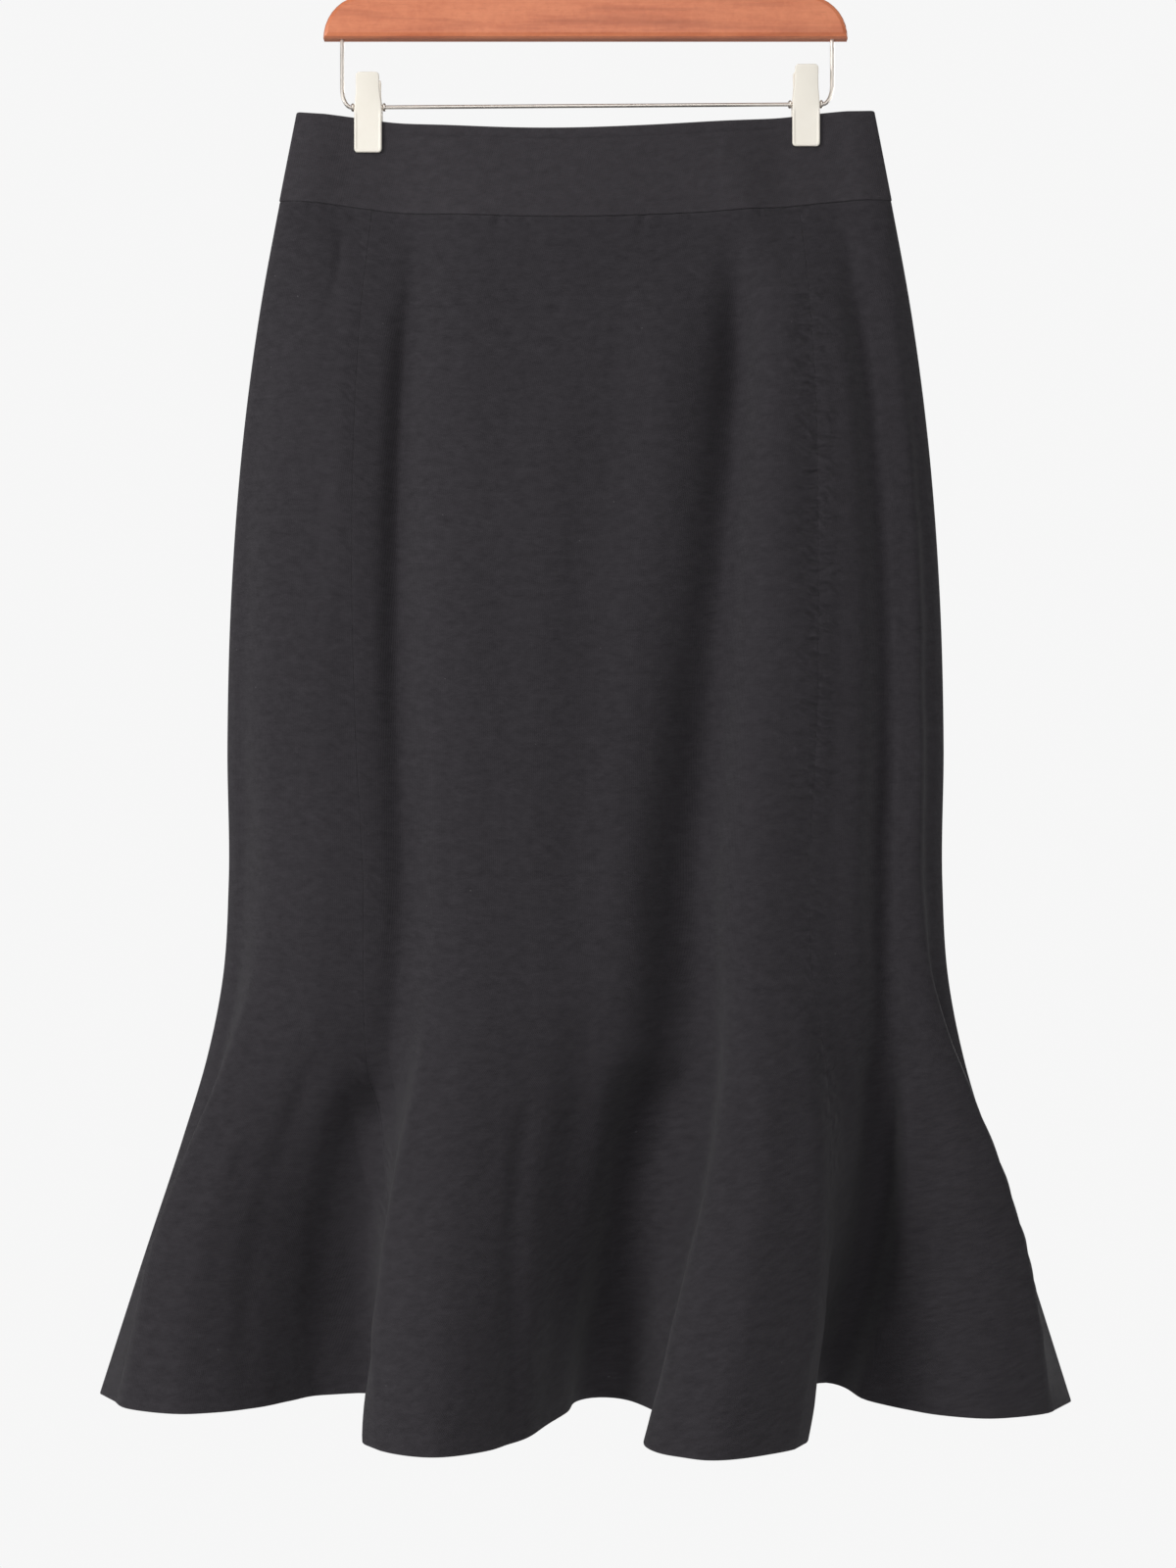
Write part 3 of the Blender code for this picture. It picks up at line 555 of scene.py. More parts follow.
def makeCloth(name, node, sideIndex, ends, wall, heights, columns, material, edgeRound):
    isBand = "waistband" in node
    steps = np.linspace(0, 1, columns)
    made = []
    for z in heights:
        pair = [None if seam is None else seamLength(seam, sideIndex, z) for seam in ends]
        made.append(clothRow(sideIndex, z, *pair, steps, isBand))
    middle, lengths, puckers = [np.array(rows) for rows in zip(*made)]
    outside = -1 if sideIndex == 0 else 1
    normal = unit(np.cross(np.gradient(middle, axis=1), np.gradient(middle, axis=0))) * outside
    # the wall thins to a round edge
    fromSide = np.minimum(lengths - lengths[:, :1], lengths[:, -1:] - lengths)
    fromTop = (heights[0] - heights)[:, None]
    fromBottom = (heights - heights[-1])[:, None]
    half = np.full(fromSide.shape, wall / 2)
    for distance, radius in zip((fromSide, fromTop, fromBottom), edgeRound):
        near = np.clip(1 - distance / radius, 0, 1)
        half = half * np.maximum(np.sqrt(1 - near**2), skirt["thinnestEdge"])
    inner = half.copy()
    if not isBand:
        turned = smooth((skirt["hemTurning"] - fromBottom) / (0.9 * mm))
        inner += skirt["hemTurningWall"] * turned * np.clip(half / (wall / 2), 0, 1)
    points = np.stack([middle + normal * half[:, :, None], middle - normal * inner[:, :, None]])
    faces = wallFaces(np.arange(half.size).reshape(half.shape))
    if outside > 0:
        faces = faces[:, ::-1]
    mesh = bpy.data.meshes.new(name)
    mesh.from_pydata(points.reshape(-1, 3).tolist(), [], faces.tolist())
    mesh.shade_smooth()
    uvOf = np.stack([lengths, np.broadcast_to(heights[:, None], lengths.shape)], axis=-1)
    uvOf = np.tile(uvOf.reshape(-1, 2), (2, 1))
    corners = np.empty(len(mesh.loops), int)
    mesh.loops.foreach_get("vertex_index", corners)
    mesh.uv_layers.new(name="clothMap").data.foreach_set("uv", uvOf[corners].ravel())
    # red: puckered, green: near a cut edge, for a painted highlight, blue: the inner side
    marks = np.zeros((2, *half.shape, 4))
    marks[..., 0] = puckers
    edgeNear = np.minimum(fromSide, np.minimum(fromTop, fromBottom))
    marks[..., 1] = np.exp(-edgeNear / (2.2 * mm))
    marks[1, ..., 2] = 1
    marks[..., 3] = 1
    layer = mesh.color_attributes.new("clothMarks", "FLOAT_COLOR", "POINT")
    layer.data.foreach_set("color", marks.ravel())
    mesh.materials.append(material)
    piece = objectOf(name, mesh)
    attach(piece, "root")
    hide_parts(node)
    # the cut size, from the middle of the wall
    cell = np.cross(middle[1:, 1:] - middle[:-1, :-1], middle[:-1, 1:] - middle[1:, :-1])
    area = float(np.linalg.norm(cell, axis=2).sum() / 2)
    width = float((lengths[:, -1] - lengths[:, 0]).max())
    length = float(np.linalg.norm(np.diff(middle, axis=0), axis=2).sum(axis=0).max())
    clothPieces[name] = SimpleNamespace(
        piece=piece, middle=middle, normal=normal, inner=inner, flat=(width, length), area=area
    )
    print(name, len(faces) * 2, "triangles, cut", round(width, 3), "x", round(length, 3), "m")


def feed(node, inputs):
    # each input takes a link or a plain value
    for key, value in inputs.items():
        if isinstance(value, bpy.types.NodeSocket):
            node.id_data.links.new(value, node.inputs[key])
        else:
            node.inputs[key].default_value = value


def nodeIn(tree, kind, inputs=None, **settings):
    node = tree.nodes.new(kind)
    for key, value in settings.items():
        setattr(node, key, value)
    feed(node, inputs or {})
    return node


def calc(operation, *values, clamp=False):
    # a math node in its values' own tree
    tree = next(value.id_data for value in values if isinstance(value, bpy.types.NodeSocket))
    inputs = dict(enumerate(values))
    return nodeIn(tree, "ShaderNodeMath", inputs, operation=operation, use_clamp=clamp).outputs[0]


def scaled(value, factor, offset=0.0, clamp=False):
    return calc("MULTIPLY_ADD", value, factor, offset, clamp=clamp)


def mixColors(share, first, second):
    inputs = {0: share, 6: first, 7: second}
    return nodeIn(share.id_data, "ShaderNodeMix", inputs, data_type="RGBA").outputs[2]


def split(value, kind="XYZ"):
    return nodeIn(value.id_data, "ShaderNodeSeparate" + kind, {0: value}).outputs


def objectPlace(tree):
    return nodeIn(tree, "ShaderNodeTexCoord").outputs["Object"]


def bumpFrom(height, strength, distance):
    inputs = {"Strength": strength, "Distance": distance, "Height": height}
    return nodeIn(height.id_data, "ShaderNodeBump", inputs).outputs[0]


def groupWith(name, inputs, outputs):
    tree = bpy.data.node_groups.new(name, "ShaderNodeTree")
    for label, value in inputs.items():
        kind = "NodeSocketVector" if value is None else "NodeSocketFloat"
        socket = tree.interface.new_socket(label, in_out="INPUT", socket_type=kind)
        if value is not None:
            socket.default_value = value
    for label in outputs:
        tree.interface.new_socket(label, in_out="OUTPUT", socket_type="NodeSocketFloat")
    return tree, tree.nodes.new("NodeGroupInput").outputs, tree.nodes.new("NodeGroupOutput")


def stretched(kind, vector, scale, turn=(0, 0, 0), **inputs):
    # a texture node with its own scale each way, in turns a metre
    tree = vector.id_data
    mapping = nodeIn(tree, "ShaderNodeMapping", {"Vector": vector, "Rotation": turn, "Scale": scale})
    return nodeIn(tree, kind, {"Vector": mapping.outputs[0], "Scale": 1.0, **inputs})


def noiseOn(vector, scale, detail, roughness=0.5, distortion=0.0, turn=(0, 0, 0)):
    inputs = {"Detail": detail, "Roughness": roughness, "Distortion": distortion}
    return stretched("ShaderNodeTexNoise", vector, scale, turn, **inputs).outputs[0]


def makeKnitGroup():
    # loops, a soft nap, mottling, a few specks of lint and painted shade between the loops, from a map in
    # metres
    tree, given, out = groupWith(
        "knitSurface",
        {"Map": None, "Wale Width": 1.2 * mm, "Course Height": 0.95 * mm, "Fuzz": 0.6, "Lint": 1.0},
        ["Tone", "Lint", "Height"],
    )
    parts = split(given["Map"])
    across = calc("DIVIDE", parts[0], given["Wale Width"])
    along = calc("DIVIDE", parts[1], given["Course Height"])
    fromMiddle = calc("ABSOLUTE", calc("SUBTRACT", calc("FRACT", across), 0.5))
    rounded = calc("SUBTRACT", 1.0, calc("POWER", scaled(fromMiddle, 2.0), 3.0))
    chevron = calc("ADD", along, scaled(fromMiddle, 1.7))
    loops = scaled(calc("SINE", scaled(chevron, 2 * math.pi)), 0.5, 0.5)
    knit = scaled(rounded, scaled(loops, 0.6, 0.4))
    fuzz = noiseOn(given["Map"], (900, 1300, 1), 3.0, 0.7)
    courses = noiseOn(given["Map"], (190, 640, 1), 3.0, 0.62)
    mottle = noiseOn(given["Map"], (120, 190, 1), 5.0, 0.7)
    broad = noiseOn(given["Map"], (9, 6, 1), 2.0, 0.5)
    height = scaled(courses, 0.9, scaled(scaled(fuzz, given["Fuzz"]), 1.1, knit))
    height = scaled(mottle, 1.3, height)
    tone = scaled(courses, 0.50, scaled(mottle, 1.15, -0.52))
    # painted shade: the colour is lighter on the raised middle of each wale and darker in the grooves
    # between wales, after the same loop relief as the bump
    tone = scaled(knit, 0.10, scaled(broad, 0.22, tone))
    # a speck in a few of the cells
    specks = stretched("ShaderNodeTexVoronoi", given["Map"], (105, 170, 1)).outputs
    spot = calc("LESS_THAN", specks["Distance"], 0.045)
    chosen = split(specks["Color"], "Color")[0]
    lint = scaled(scaled(spot, calc("GREATER_THAN", chosen, 0.93)), given["Lint"])
    feed(out, {"Tone": tone, "Lint": lint, "Height": height})
    return tree


def makeGrainGroup():
    # fine uneven grain for hard finishes, from object coordinates
    tree, given, out = groupWith(
        "finishGrain", {"Place": None, "Size": 900.0, "Broad Size": 60.0}, ["Fine", "Broad"]
    )
    for label, size, detail in (("Fine", "Size", 4.0), ("Broad", "Broad Size", 3.0)):
        noise = nodeIn(tree, "ShaderNodeTexNoise", {
            "Vector": given["Place"], "Scale": given[size], "Detail": detail, "Roughness": 0.6,
        })
        feed(out, {label: noise.outputs[0]})
    return tree


knitGroup = makeKnitGroup()
grainGroup = makeGrainGroup()


def blankMaterial(name):
    material = bpy.data.materials.new(name)
    material.use_nodes = True
    tree = material.node_tree
    return material, tree, tree.nodes["Principled BSDF"]


knitFinish = {
    "bodyDark": (0.0183, 0.0162, 0.0192, 1),
    "bodyLight": (0.0476, 0.0434, 0.0496, 1),
    "bodyLoop": (1.2 * mm, 0.95 * mm),
    "bandDark": (0.0252, 0.0227, 0.0259, 1),
    "bandLight": (0.0558, 0.0503, 0.0571, 1),
    "bandLoop": (1.4 * mm, 1.1 * mm),
    "lint": (0.11, 0.105, 0.11, 1),
    "sheen": 0.10,
    "sheenRoughness": 0.42,
    "roughness": 0.93,
    "specular": 0.22,
    "bump": 0.55,
    "bumpDistance": 0.35 * mm,
    "ripplePaintedShade": 0.15,
    "rippleHeight": 8.5,
}


def makeKnit(name, part):
    material, tree, shader = blankMaterial(name)
    cloth = nodeIn(tree, "ShaderNodeUVMap", uv_map="clothMap").outputs[0]
    waleWidth, courseHeight = knitFinish[part + "Loop"]
    knit = nodeIn(tree, "ShaderNodeGroup", {
        "Map": cloth, "Wale Width": waleWidth, "Course Height": courseHeight,
    }, node_tree=knitGroup).outputs
    marks = nodeIn(tree, "ShaderNodeAttribute", attribute_name="clothMarks").outputs["Color"]
    puckered, edge, inside = split(marks, "Color")
    # short slanting ripples pulled in beside a seam, raised in the bump and painted lighter on their
    # crests and darker in their troughs
    wander = noiseOn(cloth, (40, 26, 1), 2.0, 0.5)
    parts = split(cloth)
    ripple = scaled(parts[1], 1000.0, scaled(wander, 16.0))
    ripple = calc("SINE", scaled(parts[0], 480.0, ripple))
    breaks = noiseOn(cloth, (70, 140, 1), 1.0, 0.5)
    ripple = scaled(ripple, scaled(breaks, 4.0, -1.6, clamp=True))
    ripple = scaled(ripple, puckered)
    # painted shade and highlight: the colour follows the ripples' own relief
    tone = scaled(ripple, knitFinish["ripplePaintedShade"], knit["Tone"])
    # painted highlight: the cloth is lighter within a few mm of each cut edge, along the seams, the hem
    # and the band's rounded top, as where rounded edges catch light
    tone = scaled(edge, 0.12, tone)
    tone = scaled(inside, -0.08, tone, clamp=True)
    color = mixColors(tone, knitFinish[part + "Dark"], knitFinish[part + "Light"])
    height = scaled(ripple, knitFinish["rippleHeight"], knit["Height"])
    feed(shader, {
        "Base Color": mixColors(knit["Lint"], color, knitFinish["lint"]),
        "Roughness": scaled(knit["Tone"], -0.08, knitFinish["roughness"]),
        "Normal": bumpFrom(height, knitFinish["bump"], knitFinish["bumpDistance"]),
        "Sheen Weight": knitFinish["sheen"],
        "Sheen Roughness": knitFinish["sheenRoughness"],
        "Specular IOR Level": knitFinish["specular"],
    })
    return material


bodyKnit = makeKnit("black body knit", "body")
bandKnit = makeKnit("black band knit", "band")
print("cloth materials made")

bandTop, bandBottom = skirt["waistTop"], skirt["waistSeam"] + skirt["seamGap"] / 2
edgeRows = np.array([0, 0.12, 0.32, 0.65, 1.1, 1.8, 2.7]) * mm
bandHeights = np.concatenate([
    bandTop - edgeRows,
    np.linspace(bandTop - 3.6 * mm, bandTop - 11 * mm, 9),
    np.linspace(bandTop - 13 * mm, bandBottom + 4 * mm, 18),
    (bandBottom + edgeRows)[::-1],
])
goreTop, goreBottom = skirt["waistSeam"] - skirt["seamGap"] / 2, skirt["hem"]
turning = goreBottom + skirt["hemTurning"]
goreHeights = np.concatenate([
    goreTop - edgeRows,
    np.arange(goreTop - 4 * mm, turning + 3 * mm, -skirt["rowStep"]),
    turning + np.array([0.9, 0.3, -0.3, -0.9]) * mm,
    np.linspace(turning - 2.5 * mm, goreBottom + 4 * mm, 5),
    (goreBottom + edgeRows)[::-1],
])
# the rounding of the sides, the top and the bottom of each wall
bandRound = (0.3 * mm, 1.3 * mm, 0.9 * mm)
goreRound = (0.16 * mm, 0.5 * mm, 0.8 * mm)
gores = ("left", "centre", "right")
columnCounts = {"band": 124, "front": (68, 166, 72), "back": (62, 150, 62)}
for sideIndex, side in enumerate(("front", "back")):
    makeCloth(
        f"band_{side}_cloth", f"waistband_{side}", sideIndex, (None, None), skirt["bandWall"],
        bandHeights, columnCounts["band"], bandKnit, bandRound,
    )
    cuts = (None, *seams[sideIndex], None)
    for part, columns, ends in zip(gores, columnCounts[side], zip(cuts, cuts[1:])):
        makeCloth(
            f"body_{side}_{part}_cloth", f"gore_{side}_{part}", sideIndex, ends, skirt["clothWall"],
            goreHeights, columns, bodyKnit, goreRound,
        )
print("cloth made")

stitching = {
    "spacing": 3.2 * mm,
    "across": 2.6 * mm,
    "thread": 0.22 * mm,
    "threadDark": (0.022, 0.021, 0.023, 1),
    "threadLight": (0.05, 0.048, 0.052, 1),
    "hemSpacing": 5.5 * mm,
    "hemLength": 3.4 * mm,
    "belowBand": 1.1 * mm,
    "belowTurning": 1.2 * mm,
    "proud": 0.12 * mm,
    "uneven": 0.12,
    "seed": 11,
}


def makeGrained(name, dark, light, tone, sizes=None):
    # a finish with its colour from one of the grain's outputs
    material, tree, shader = blankMaterial(name)
    inputs = {"Place": objectPlace(tree), **(sizes or {})}
    grain = nodeIn(tree, "ShaderNodeGroup", inputs, node_tree=grainGroup).outputs
    feed(shader, {"Base Color": mixColors(grain[tone], dark, light)})
    return material, shader, grain["Fine"]


thread, threadShader, _ = makeGrained(
    "black sewing thread", stitching["threadDark"], stitching["threadLight"], "Fine"
)
feed(threadShader, {"Roughness": 0.6})


def makeStitchTree():
    tree = bpy.data.node_groups.new("stitchRun", "GeometryNodeTree")
    kinds = {
        "Path": "Geometry", "Spacing": "Float", "Length": "Float", "Thread Radius": "Float",
        "Unevenness": "Float", "Seed": "Int", "Finish": "Material",
    }
    sockets = {
        label: tree.interface.new_socket(label, in_out="INPUT", socket_type="NodeSocket" + kind).identifier
        for label, kind in kinds.items()
    }
    tree.interface.new_socket("Stitches", in_out="OUTPUT", socket_type="NodeSocketGeometry")
    given = tree.nodes.new("NodeGroupInput").outputs

    def step(kind, inputs, **settings):
        return nodeIn(tree, kind, inputs, **settings).outputs[0]

    curve = step("GeometryNodeMeshToCurve", {0: given["Path"]})
    points = step("GeometryNodeResampleCurve", {"Curve": curve, "Length": given["Spacing"]}, mode="LENGTH")
    ball = step("GeometryNodeMeshUVSphere", {"Segments": 6, "Rings": 4, "Radius": 1.0})
    radius = given["Thread Radius"]
    size = step("ShaderNodeCombineXYZ", {0: scaled(given["Length"], 0.5), 1: radius, 2: radius})
    stitch = step("GeometryNodeTransform", {"Geometry": ball, "Scale": size})
    lay = step("GeometryNodeInputNamedAttribute", {"Name": "lay"}, data_type="FLOAT_VECTOR")
    turn = step("FunctionNodeAlignRotationToVector", {"Vector": lay}, axis="X")
    vary = nodeIn(tree, "FunctionNodeRandomValue", {
        2: calc("SUBTRACT", 1.0, given["Unevenness"]), 3: calc("ADD", 1.0, given["Unevenness"]),
        "Seed": given["Seed"],
    }, data_type="FLOAT").outputs[1]
    scale = step("ShaderNodeCombineXYZ", {0: vary, 1: 1.0, 2: 1.0})
    placed = step("GeometryNodeInstanceOnPoints", {
        "Points": points, "Instance": stitch, "Rotation": turn, "Scale": scale,
    })
    soft = step("GeometryNodeSetShadeSmooth", {0: step("GeometryNodeRealizeInstances", {0: placed})})
    finished = step("GeometryNodeSetMaterial", {0: soft, "Material": given["Finish"]})
    feed(tree.nodes.new("NodeGroupOutput"), {0: finished})
    return tree, sockets


stitchTree, stitchSockets = makeStitchTree()


def makeStitches(name, runs, spacing, length):
    # each run is its places along a path, and the way that a stitch points at each
    mesh = bpy.data.meshes.new(name + "_path")
    places, lays = [np.concatenate(part) for part in zip(*runs)]
    ends = set(np.cumsum([len(run[0]) for run in runs]) - 1)
    edges = [(point, point + 1) for point in range(len(places)) if point not in ends]
    mesh.from_pydata(places.tolist(), edges, [])
    mesh.attributes.new("lay", "FLOAT_VECTOR", "POINT").data.foreach_set("vector", lays.ravel())
    path = objectOf(name + "_path", mesh)
    modifier = path.modifiers.new("stitches", "NODES")
    modifier.node_group = stitchTree
    for label, value in {
        "Spacing": spacing, "Length": length, "Thread Radius": stitching["thread"],
        "Unevenness": stitching["uneven"], "Seed": stitching["seed"], "Finish": thread,
    }.items():
        modifier[stitchSockets[label]] = value
    bpy.context.view_layer.update()
    made = bpy.data.meshes.new_from_object(path.evaluated_get(bpy.context.evaluated_depsgraph_get()))
    bpy.data.objects.remove(path)
    for attribute in [row for row in made.attributes if row.name == "lay"]:
        made.attributes.remove(attribute)
    made.materials.clear()
    made.materials.append(thread)
    piece = objectOf(name, made)
    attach(piece, "root")
    print(name, len(made.polygons), "faces")
    return piece


def innerFace(cloth, rows, column):
    lift = cloth.inner[rows, column][..., None] + stitching["proud"]
    return cloth.middle[rows, column] - cloth.normal[rows, column] * lift


def seamRun(first, firstColumn, second, secondColumn):
    # a run of stitches between two pieces, each laid from one to the other
    ends = innerFace(first, seamRows, firstColumn), innerFace(second, seamRows, secondColumn)
    return (ends[0] + ends[1]) / 2, unit(ends[1] - ends[0])


seamRuns, bandRuns, hemRuns = [], [], []
seamRows = slice(3, -3)
fromLeft, fromRight = 4, -5  # the columns that the stitches of a seam reach to
betweenSides = slice(fromLeft, -fromLeft)
for side in ("front", "back"):
    parts = [clothPieces[f"body_{side}_{part}_cloth"] for part in gores]
    for first, second in zip(parts, parts[1:]):
        seamRuns.append(seamRun(first, fromRight, second, fromLeft))
    lower = innerFace(clothPieces[f"band_{side}_cloth"], fromRight, betweenSides)
    below = np.array([0, 0, stitching["belowBand"]])
    bandRuns.append((lower - below, np.tile([0.0, 0.0, 1.0], (len(lower), 1))))
    hemRow = int(np.argmin(np.abs(goreHeights - turning + stitching["belowTurning"])))
    for cloth in parts:
        line = innerFace(cloth, hemRow, betweenSides)
        hemRuns.append((line, unit(np.gradient(line, axis=0) + np.array([0, 0, 0.35 * mm]))))
for part, column in (("left", fromLeft), ("right", fromRight)):
    pair = [clothPieces[f"body_{side}_{part}_cloth"] for side in ("front", "back")]
    seamRuns.append(seamRun(pair[0], column, pair[1], column))
seamStitches = makeStitches("seam_stitches", seamRuns, stitching["spacing"], stitching["across"])
bandStitches = makeStitches("band_stitches", bandRuns, stitching["spacing"], stitching["across"])
hemStitches = makeStitches("hem_stitches", hemRuns, stitching["hemSpacing"], stitching["hemLength"])
print("stitches made")

hanger = {
    "rodZ": -155.6 * mm,
    "rodTilt": 1.1 * mm,
    "rodRightX": 156 * mm,
    "boreRadius": 1.55 * mm,
    "clipWidth": 17.4 * mm,
    "clipTopWidth": 14.8 * mm,
    "plate": 1.3 * mm,
    "topSpread": 9 * mm,
    "rodSpread": 4.6 * mm,
    "jawGap": 0.55 * mm,
    "corner": 2.2 * mm,
    "jawStart": 9 * mm,
    "taperStart": 4 * mm,
    "earWall": 1 * mm,
    "earInset": 1.6 * mm,
    "earReach": 2.6 * mm,
    "gap": 0.3 * mm,
    "rimWidth": 1.5 * mm,
    "rimHeight": 0.42 * mm,
    "rimBelow": 2 * mm,
    "rimFade": 5 * mm,
    "edgeRound": 0.55 * mm,
    "crown": 0.35 * mm,
    "crownBelow": 6 * mm,
    "crownFade": 8 * mm,
    "cell": 0.55 * mm,
    "cellsAcross": 35,
}


def rodZAt(x):
    return hanger["rodZ"] + hanger["rodTilt"] * x / hanger["rodRightX"]


def plateDepth(along, above):
    # how far a plate stands from the rod's plane, where along is up from the rod
    if along > 0:
        return between(hanger["rodSpread"], hanger["topSpread"], (along / above) ** 1.2)
    jaw = skirt["clampedHalfDepth"] + (skirt["bandWall"] + hanger["plate"]) / 2 + hanger["jawGap"]
    share = min(1, -along / hanger["jawStart"])
    return between(hanger["rodSpread"], jaw, share * (2 - share))


def makePlate(clip, facing, material):
    side = "front" if facing < 0 else "back"
    name = f"clip_{clip.name}_{side}_plate"
    above, below = clip.top * mm, clip.bottom * mm
    corner, cell = hanger["corner"], hanger["cell"]
    centreX, rodZ = clip.x * mm, rodZAt(clip.x * mm)
    ends = np.array([0, 0.06, 0.22, 0.5, 0.9, 1.4]) * corner
    middles = np.arange(-below + 1.8 * corner, above - 1.8 * corner, cell)
    heights = np.concatenate([-below + ends, middles, (above - ends)[::-1]])
    acrossSteps = np.linspace(-1, 1, hanger["cellsAcross"])
    acrossSteps = np.sign(acrossSteps) * (1 - (1 - np.abs(acrossSteps)) ** 1.25)
    rows = []
    for height in heights:
        taper = np.clip((height + hanger["taperStart"]) / (above * 0.6 + hanger["taperStart"]), 0, 1)
        half = between(hanger["clipWidth"], hanger["clipTopWidth"], smooth(taper)) / 2
        fromEnd = min(height + below, above - height)
        if fromEnd < corner:
            half -= corner - math.sqrt(max(0, corner**2 - (corner - fromEnd) ** 2)) * 0.98
        x = half * acrossSteps
        fromSide = half - np.abs(x)
        fromEdge = np.minimum(fromSide, height + below)
        rim = 1 - smooth((fromEdge - 0.8 * hanger["rimWidth"]) / (0.45 * hanger["rimWidth"]))
        rim *= smooth((-height - hanger["rimBelow"]) / hanger["rimFade"])
        roundEdge = np.clip(1 - np.minimum(fromSide, fromEnd) / hanger["edgeRound"], 0, 1)
        thick = hanger["plate"] / 2 * np.maximum(np.sqrt(1 - roundEdge**2), 0.25)
        crown = hanger["crown"] * (1 - acrossSteps**2)
        crown *= smooth((height + hanger["crownBelow"]) / hanger["crownFade"])
        face = thick + hanger["rimHeight"] * rim * (1 - roundEdge) + crown
        rows.append([
            np.column_stack([
                centreX + x, facing * (plateDepth(height, above) + lift), np.full(len(x), rodZ + height),
            ])
            for lift in (face, -thick)
        ])
    grid = np.array(rows).transpose(1, 0, 2, 3)
    faces = wallFaces(np.arange(grid[0, ..., 0].size).reshape(grid.shape[1:3]).T)
    if facing > 0:
        faces = faces[:, ::-1]
    points, faces = grid.reshape(-1, 3).tolist(), faces.tolist()
    # two ears reach in round the rod
    earX = hanger["clipWidth"] / 2 - hanger["earInset"]
    if facing > 0:
        earX -= hanger["earWall"] + hanger["gap"]
    for across in (-1, 1):
        addEar(points, faces, centreX + across * earX, rodZ, facing)
    mesh = bpy.data.meshes.new(name)
    mesh.from_pydata(points, [], faces)
    mesh.shade_smooth()
    mesh.set_sharp_from_angle(angle=math.radians(50))
    mesh.materials.append(material)
    piece = objectOf(name, mesh)
    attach(piece, "root")
    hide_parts(f"clip_{clip.name}_{side}")
    return piece


def addEar(points, faces, x, rodZ, facing, turns=32):
    # a tab with a round end and a bore for the rod, as four loops
    first = len(points)
    reach, toPlate = hanger["earReach"], hanger["rodSpread"] - 0.2 * mm
    angles = [2 * math.pi * step / turns for step in range(turns)]
    for across, isOuter in ((-1, False), (-1, True), (1, True), (1, False)):
        for angle in angles:
            inward, up = math.cos(angle), math.sin(angle)
            radius = reach if isOuter else hanger["boreRadius"]
            if isOuter and inward > 0:
                # square where it meets the plate
                radius = min(toPlate / max(inward, 1e-6), reach / max(abs(up), 1e-6))
            edgeX = x + across * hanger["earWall"] / 2
            points.append([edgeX, facing * radius * inward, rodZ + radius * up])
    for loop in range(4):
        here, after = first + loop * turns, first + (loop + 1) % 4 * turns
        for step in range(turns):
            beside = (step + 1) % turns
            quad = [here + step, after + step, after + beside, here + beside]
            faces.append(quad if facing < 0 else quad[::-1])


clipFinish = {
    "light": (0.98, 0.935, 0.84, 1),
    "dark": (0.94, 0.885, 0.78, 1),
    "grain": {"Size": 1500.0, "Broad Size": 90.0},
    "roughness": 0.38,
    "roughnessGrain": 0.14,
    "bump": (0.15, 0.05 * mm),
    "other": {"Specular IOR Level": 0.45},
}
wireFinish = {
    "light": (0.82, 0.77, 0.70, 1),
    "dark": (0.66, 0.60, 0.55, 1),
    "grain": {"Size": 1800.0, "Broad Size": 140.0},
    "roughness": 0.24,
    "roughnessGrain": 0.22,
    "bump": (0.2, 0.03 * mm),
    "other": {"Metallic": 1.0},
}
woodFinish = {
    "light": (0.78, 0.262, 0.122, 1),
    "middle": (0.60, 0.160, 0.068, 1),
    "dark": (0.33, 0.085, 0.04, 1),
    "roughness": 0.28,
    "roughnessGrain": 0.2,
    "bump": (0.25, 0.12 * mm),
    "lean": (0, 0.02, 0),
    "coat": 0.35,
    "coatRoughness": 0.22,
}


def makeHard(name, finish):
    material, shader, fine = makeGrained(name, finish["dark"], finish["light"], "Broad", finish["grain"])
    feed(shader, {
        "Roughness": scaled(fine, finish["roughnessGrain"], finish["roughness"]),
        "Normal": bumpFrom(fine, *finish["bump"]), **finish["other"],
    })
    return material


def makeWood():
    # long streaks along the bar, a few dark pores, and a thin worn varnish
    material, tree, shader = blankMaterial("varnished wood")
    place = objectPlace(tree)

    def streaks(scale, detail, distortion):
        return noiseOn(place, scale, detail, 0.5, distortion, woodFinish["lean"])

    wide = streaks((9, 70, 95), 4.0, 0.8)
    fine = streaks((40, 500, 720), 3.0, 0.3)
    pores = streaks((160, 1500, 2300), 2.0, 0.0)
    blotch = streaks((22, 30, 34), 2.0, 0.4)
    flecks = streaks((210, 300, 240), 4.0, 0.6)
    tone = scaled(fine, 0.45, scaled(wide, 1.3, -0.42))
    tone = scaled(flecks, 0.9, calc("SUBTRACT", tone, 0.67))
    tone = scaled(blotch, 0.9, calc("SUBTRACT", tone, 0.20), clamp=True)
    color = mixColors(tone, woodFinish["middle"], woodFinish["light"])
    dark = scaled(wide, -3.4, 1.62, clamp=True)
    color = mixColors(scaled(dark, 0.55), color, woodFinish["dark"])
    pore = scaled(pores, -7.0, 2.5, clamp=True)
    feed(shader, {
        "Base Color": mixColors(scaled(pore, 0.4), color, woodFinish["dark"]),
        "Roughness": scaled(blotch, woodFinish["roughnessGrain"], woodFinish["roughness"]),
        "Normal": bumpFrom(scaled(pore, -0.6, fine), *woodFinish["bump"]),
        "Coat Weight": woodFinish["coat"],
        "Coat Roughness": woodFinish["coatRoughness"],
    })
    return material


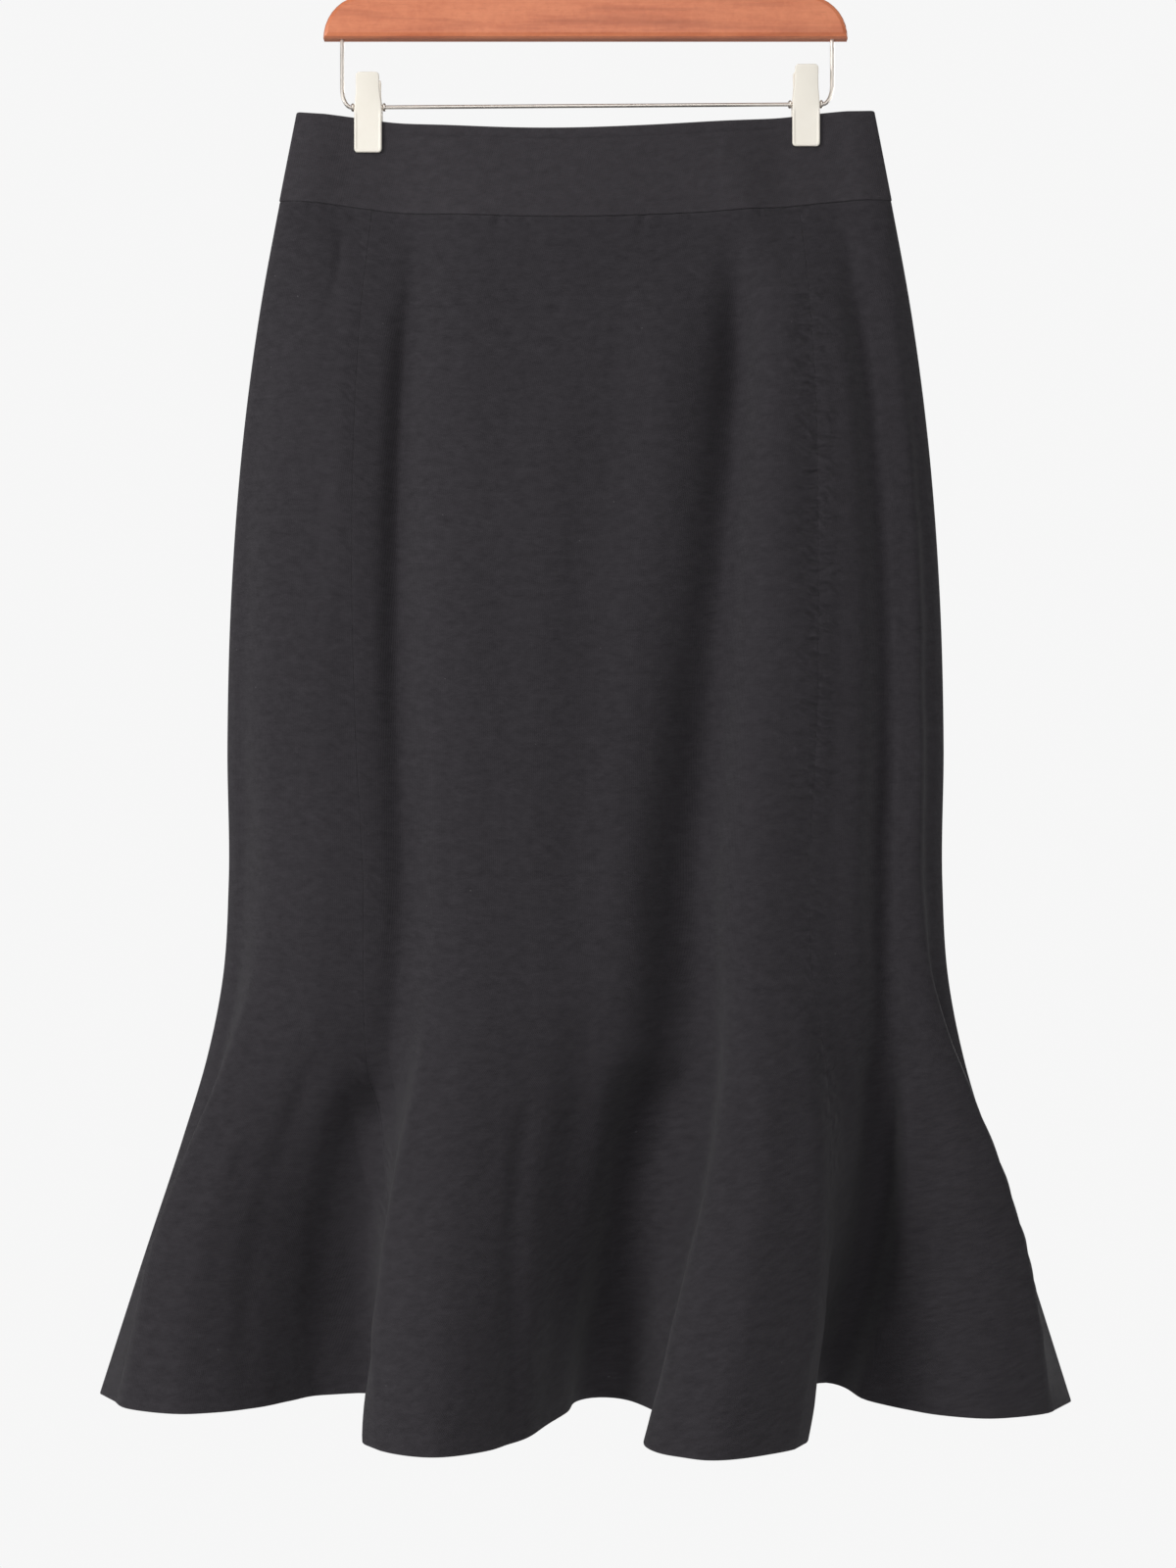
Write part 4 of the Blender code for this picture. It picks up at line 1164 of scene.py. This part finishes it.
clipPlastic = makeHard("cream clip plastic", clipFinish)
wire = makeHard("plated wire", wireFinish)
wood = makeWood()
plates = [makePlate(clip, facing, clipPlastic) for clip in clips for facing in (-1, 1)]
for nodeName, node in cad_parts.items():
    if nodeName == "hanger_bar":
        finish = wood
    elif nodeName in ("rod_wire", "hook", "hook_collar") or "spring" in nodeName or "collar" in nodeName:
        finish = wire
    else:
        continue
    if not node.material_slots:
        node.data.materials.append(finish)
    for slot in node.material_slots:
        slot.material = finish
print("hanger finished")

for name, cloth in clothPieces.items():
    isBand, side = name.startswith("band"), name.split("_")[1]

# A pale floor that fades out into an even pale surround
stage = {
    "floorZ": -1.6,
    "floorRadius": 2.6,
    "floorCorners": 96,
    "fadeFrom": 0.5,
    "fadeTo": 1.62,
    "pale": (0.93, 0.93, 0.93, 1),
    "roughness": 0.9,
    "surround": 0.925,
    "ambient": 0.187,
    "lightsAim": (0, 0, -0.57),
}
view = {"place": (1.55 * mm, -1.6, -584.6 * mm), "lens": 58.06, "sensor": 36}


def makeFloor():
    mesh = bpy.data.meshes.new("floor")
    count, radius = stage["floorCorners"], stage["floorRadius"]
    angles = [2 * math.pi * corner / count for corner in range(count)]
    points = [(radius * math.cos(angle), radius * math.sin(angle), stage["floorZ"]) for angle in angles]
    mesh.from_pydata(points, [], [range(count)])
    material, tree, shader = blankMaterial("pale floor")
    parts = split(objectPlace(tree))
    squares = calc("ADD", calc("POWER", parts[0], 2.0), calc("POWER", parts[1], 2.0))
    fade = nodeIn(tree, "ShaderNodeMapRange", {
        "Value": calc("SQRT", squares), "From Min": stage["fadeFrom"], "From Max": stage["fadeTo"],
        "To Min": 1.0, "To Max": 0.0,
    }, interpolation_type="SMOOTHSTEP").outputs[0]
    feed(shader, {"Base Color": stage["pale"], "Roughness": stage["roughness"], "Alpha": fade})
    mesh.materials.append(material)
    objectOf("floor", mesh)


def makeWorld():
    world = bpy.data.worlds.new("studio")
    bpy.context.scene.world = world
    world.use_nodes = True
    tree = world.node_tree
    seen = nodeIn(tree, "ShaderNodeLightPath").outputs["Is Camera Ray"]
    strength = scaled(seen, stage["surround"] - stage["ambient"], stage["ambient"])
    feed(tree.nodes["Background"], {"Color": (1, 1, 1, 1), "Strength": strength})


lights = tableOf(
    "name x y z size power",
    ("key", -1.95, -1.63, -0.03, 1.1, 41),
    ("left side", -2.55, -0.45, -0.34, 1.1, 3.5),
    ("front", 0.0, -2.56, -0.12, 1.1, 10),
    ("top", 0.0, -1.84, 1.27, 1.1, 9),
    ("right side", 2.50, -0.67, -0.34, 1.1, 8),
    ("back", 1.10, 2.30, 0.10, 1.3, 40),
)


def makeLights():
    for row in lights:
        data = bpy.data.lights.new(row.name, "AREA")
        data.shape = "DISK"
        data.size = row.size
        data.energy = row.power
        light = objectOf(row.name, data)
        light.location = (row.x, row.y, row.z)
        aim = Vector(stage["lightsAim"]) - light.location
        light.rotation_euler = aim.to_track_quat("-Z", "Y").to_euler()


def makeCamera():
    data = bpy.data.cameras.new("camera")
    data.lens = view["lens"]
    data.sensor_width = view["sensor"]
    camera = objectOf("camera", data)
    camera.location = view["place"]
    camera.rotation_euler = (math.radians(90), 0, 0)
    bpy.context.scene.camera = camera


makeFloor()
makeWorld()
makeLights()
makeCamera()
bpy.context.scene.view_settings.view_transform = "Standard"
print("stage, lights and camera made")

bpy.context.view_layer.update()
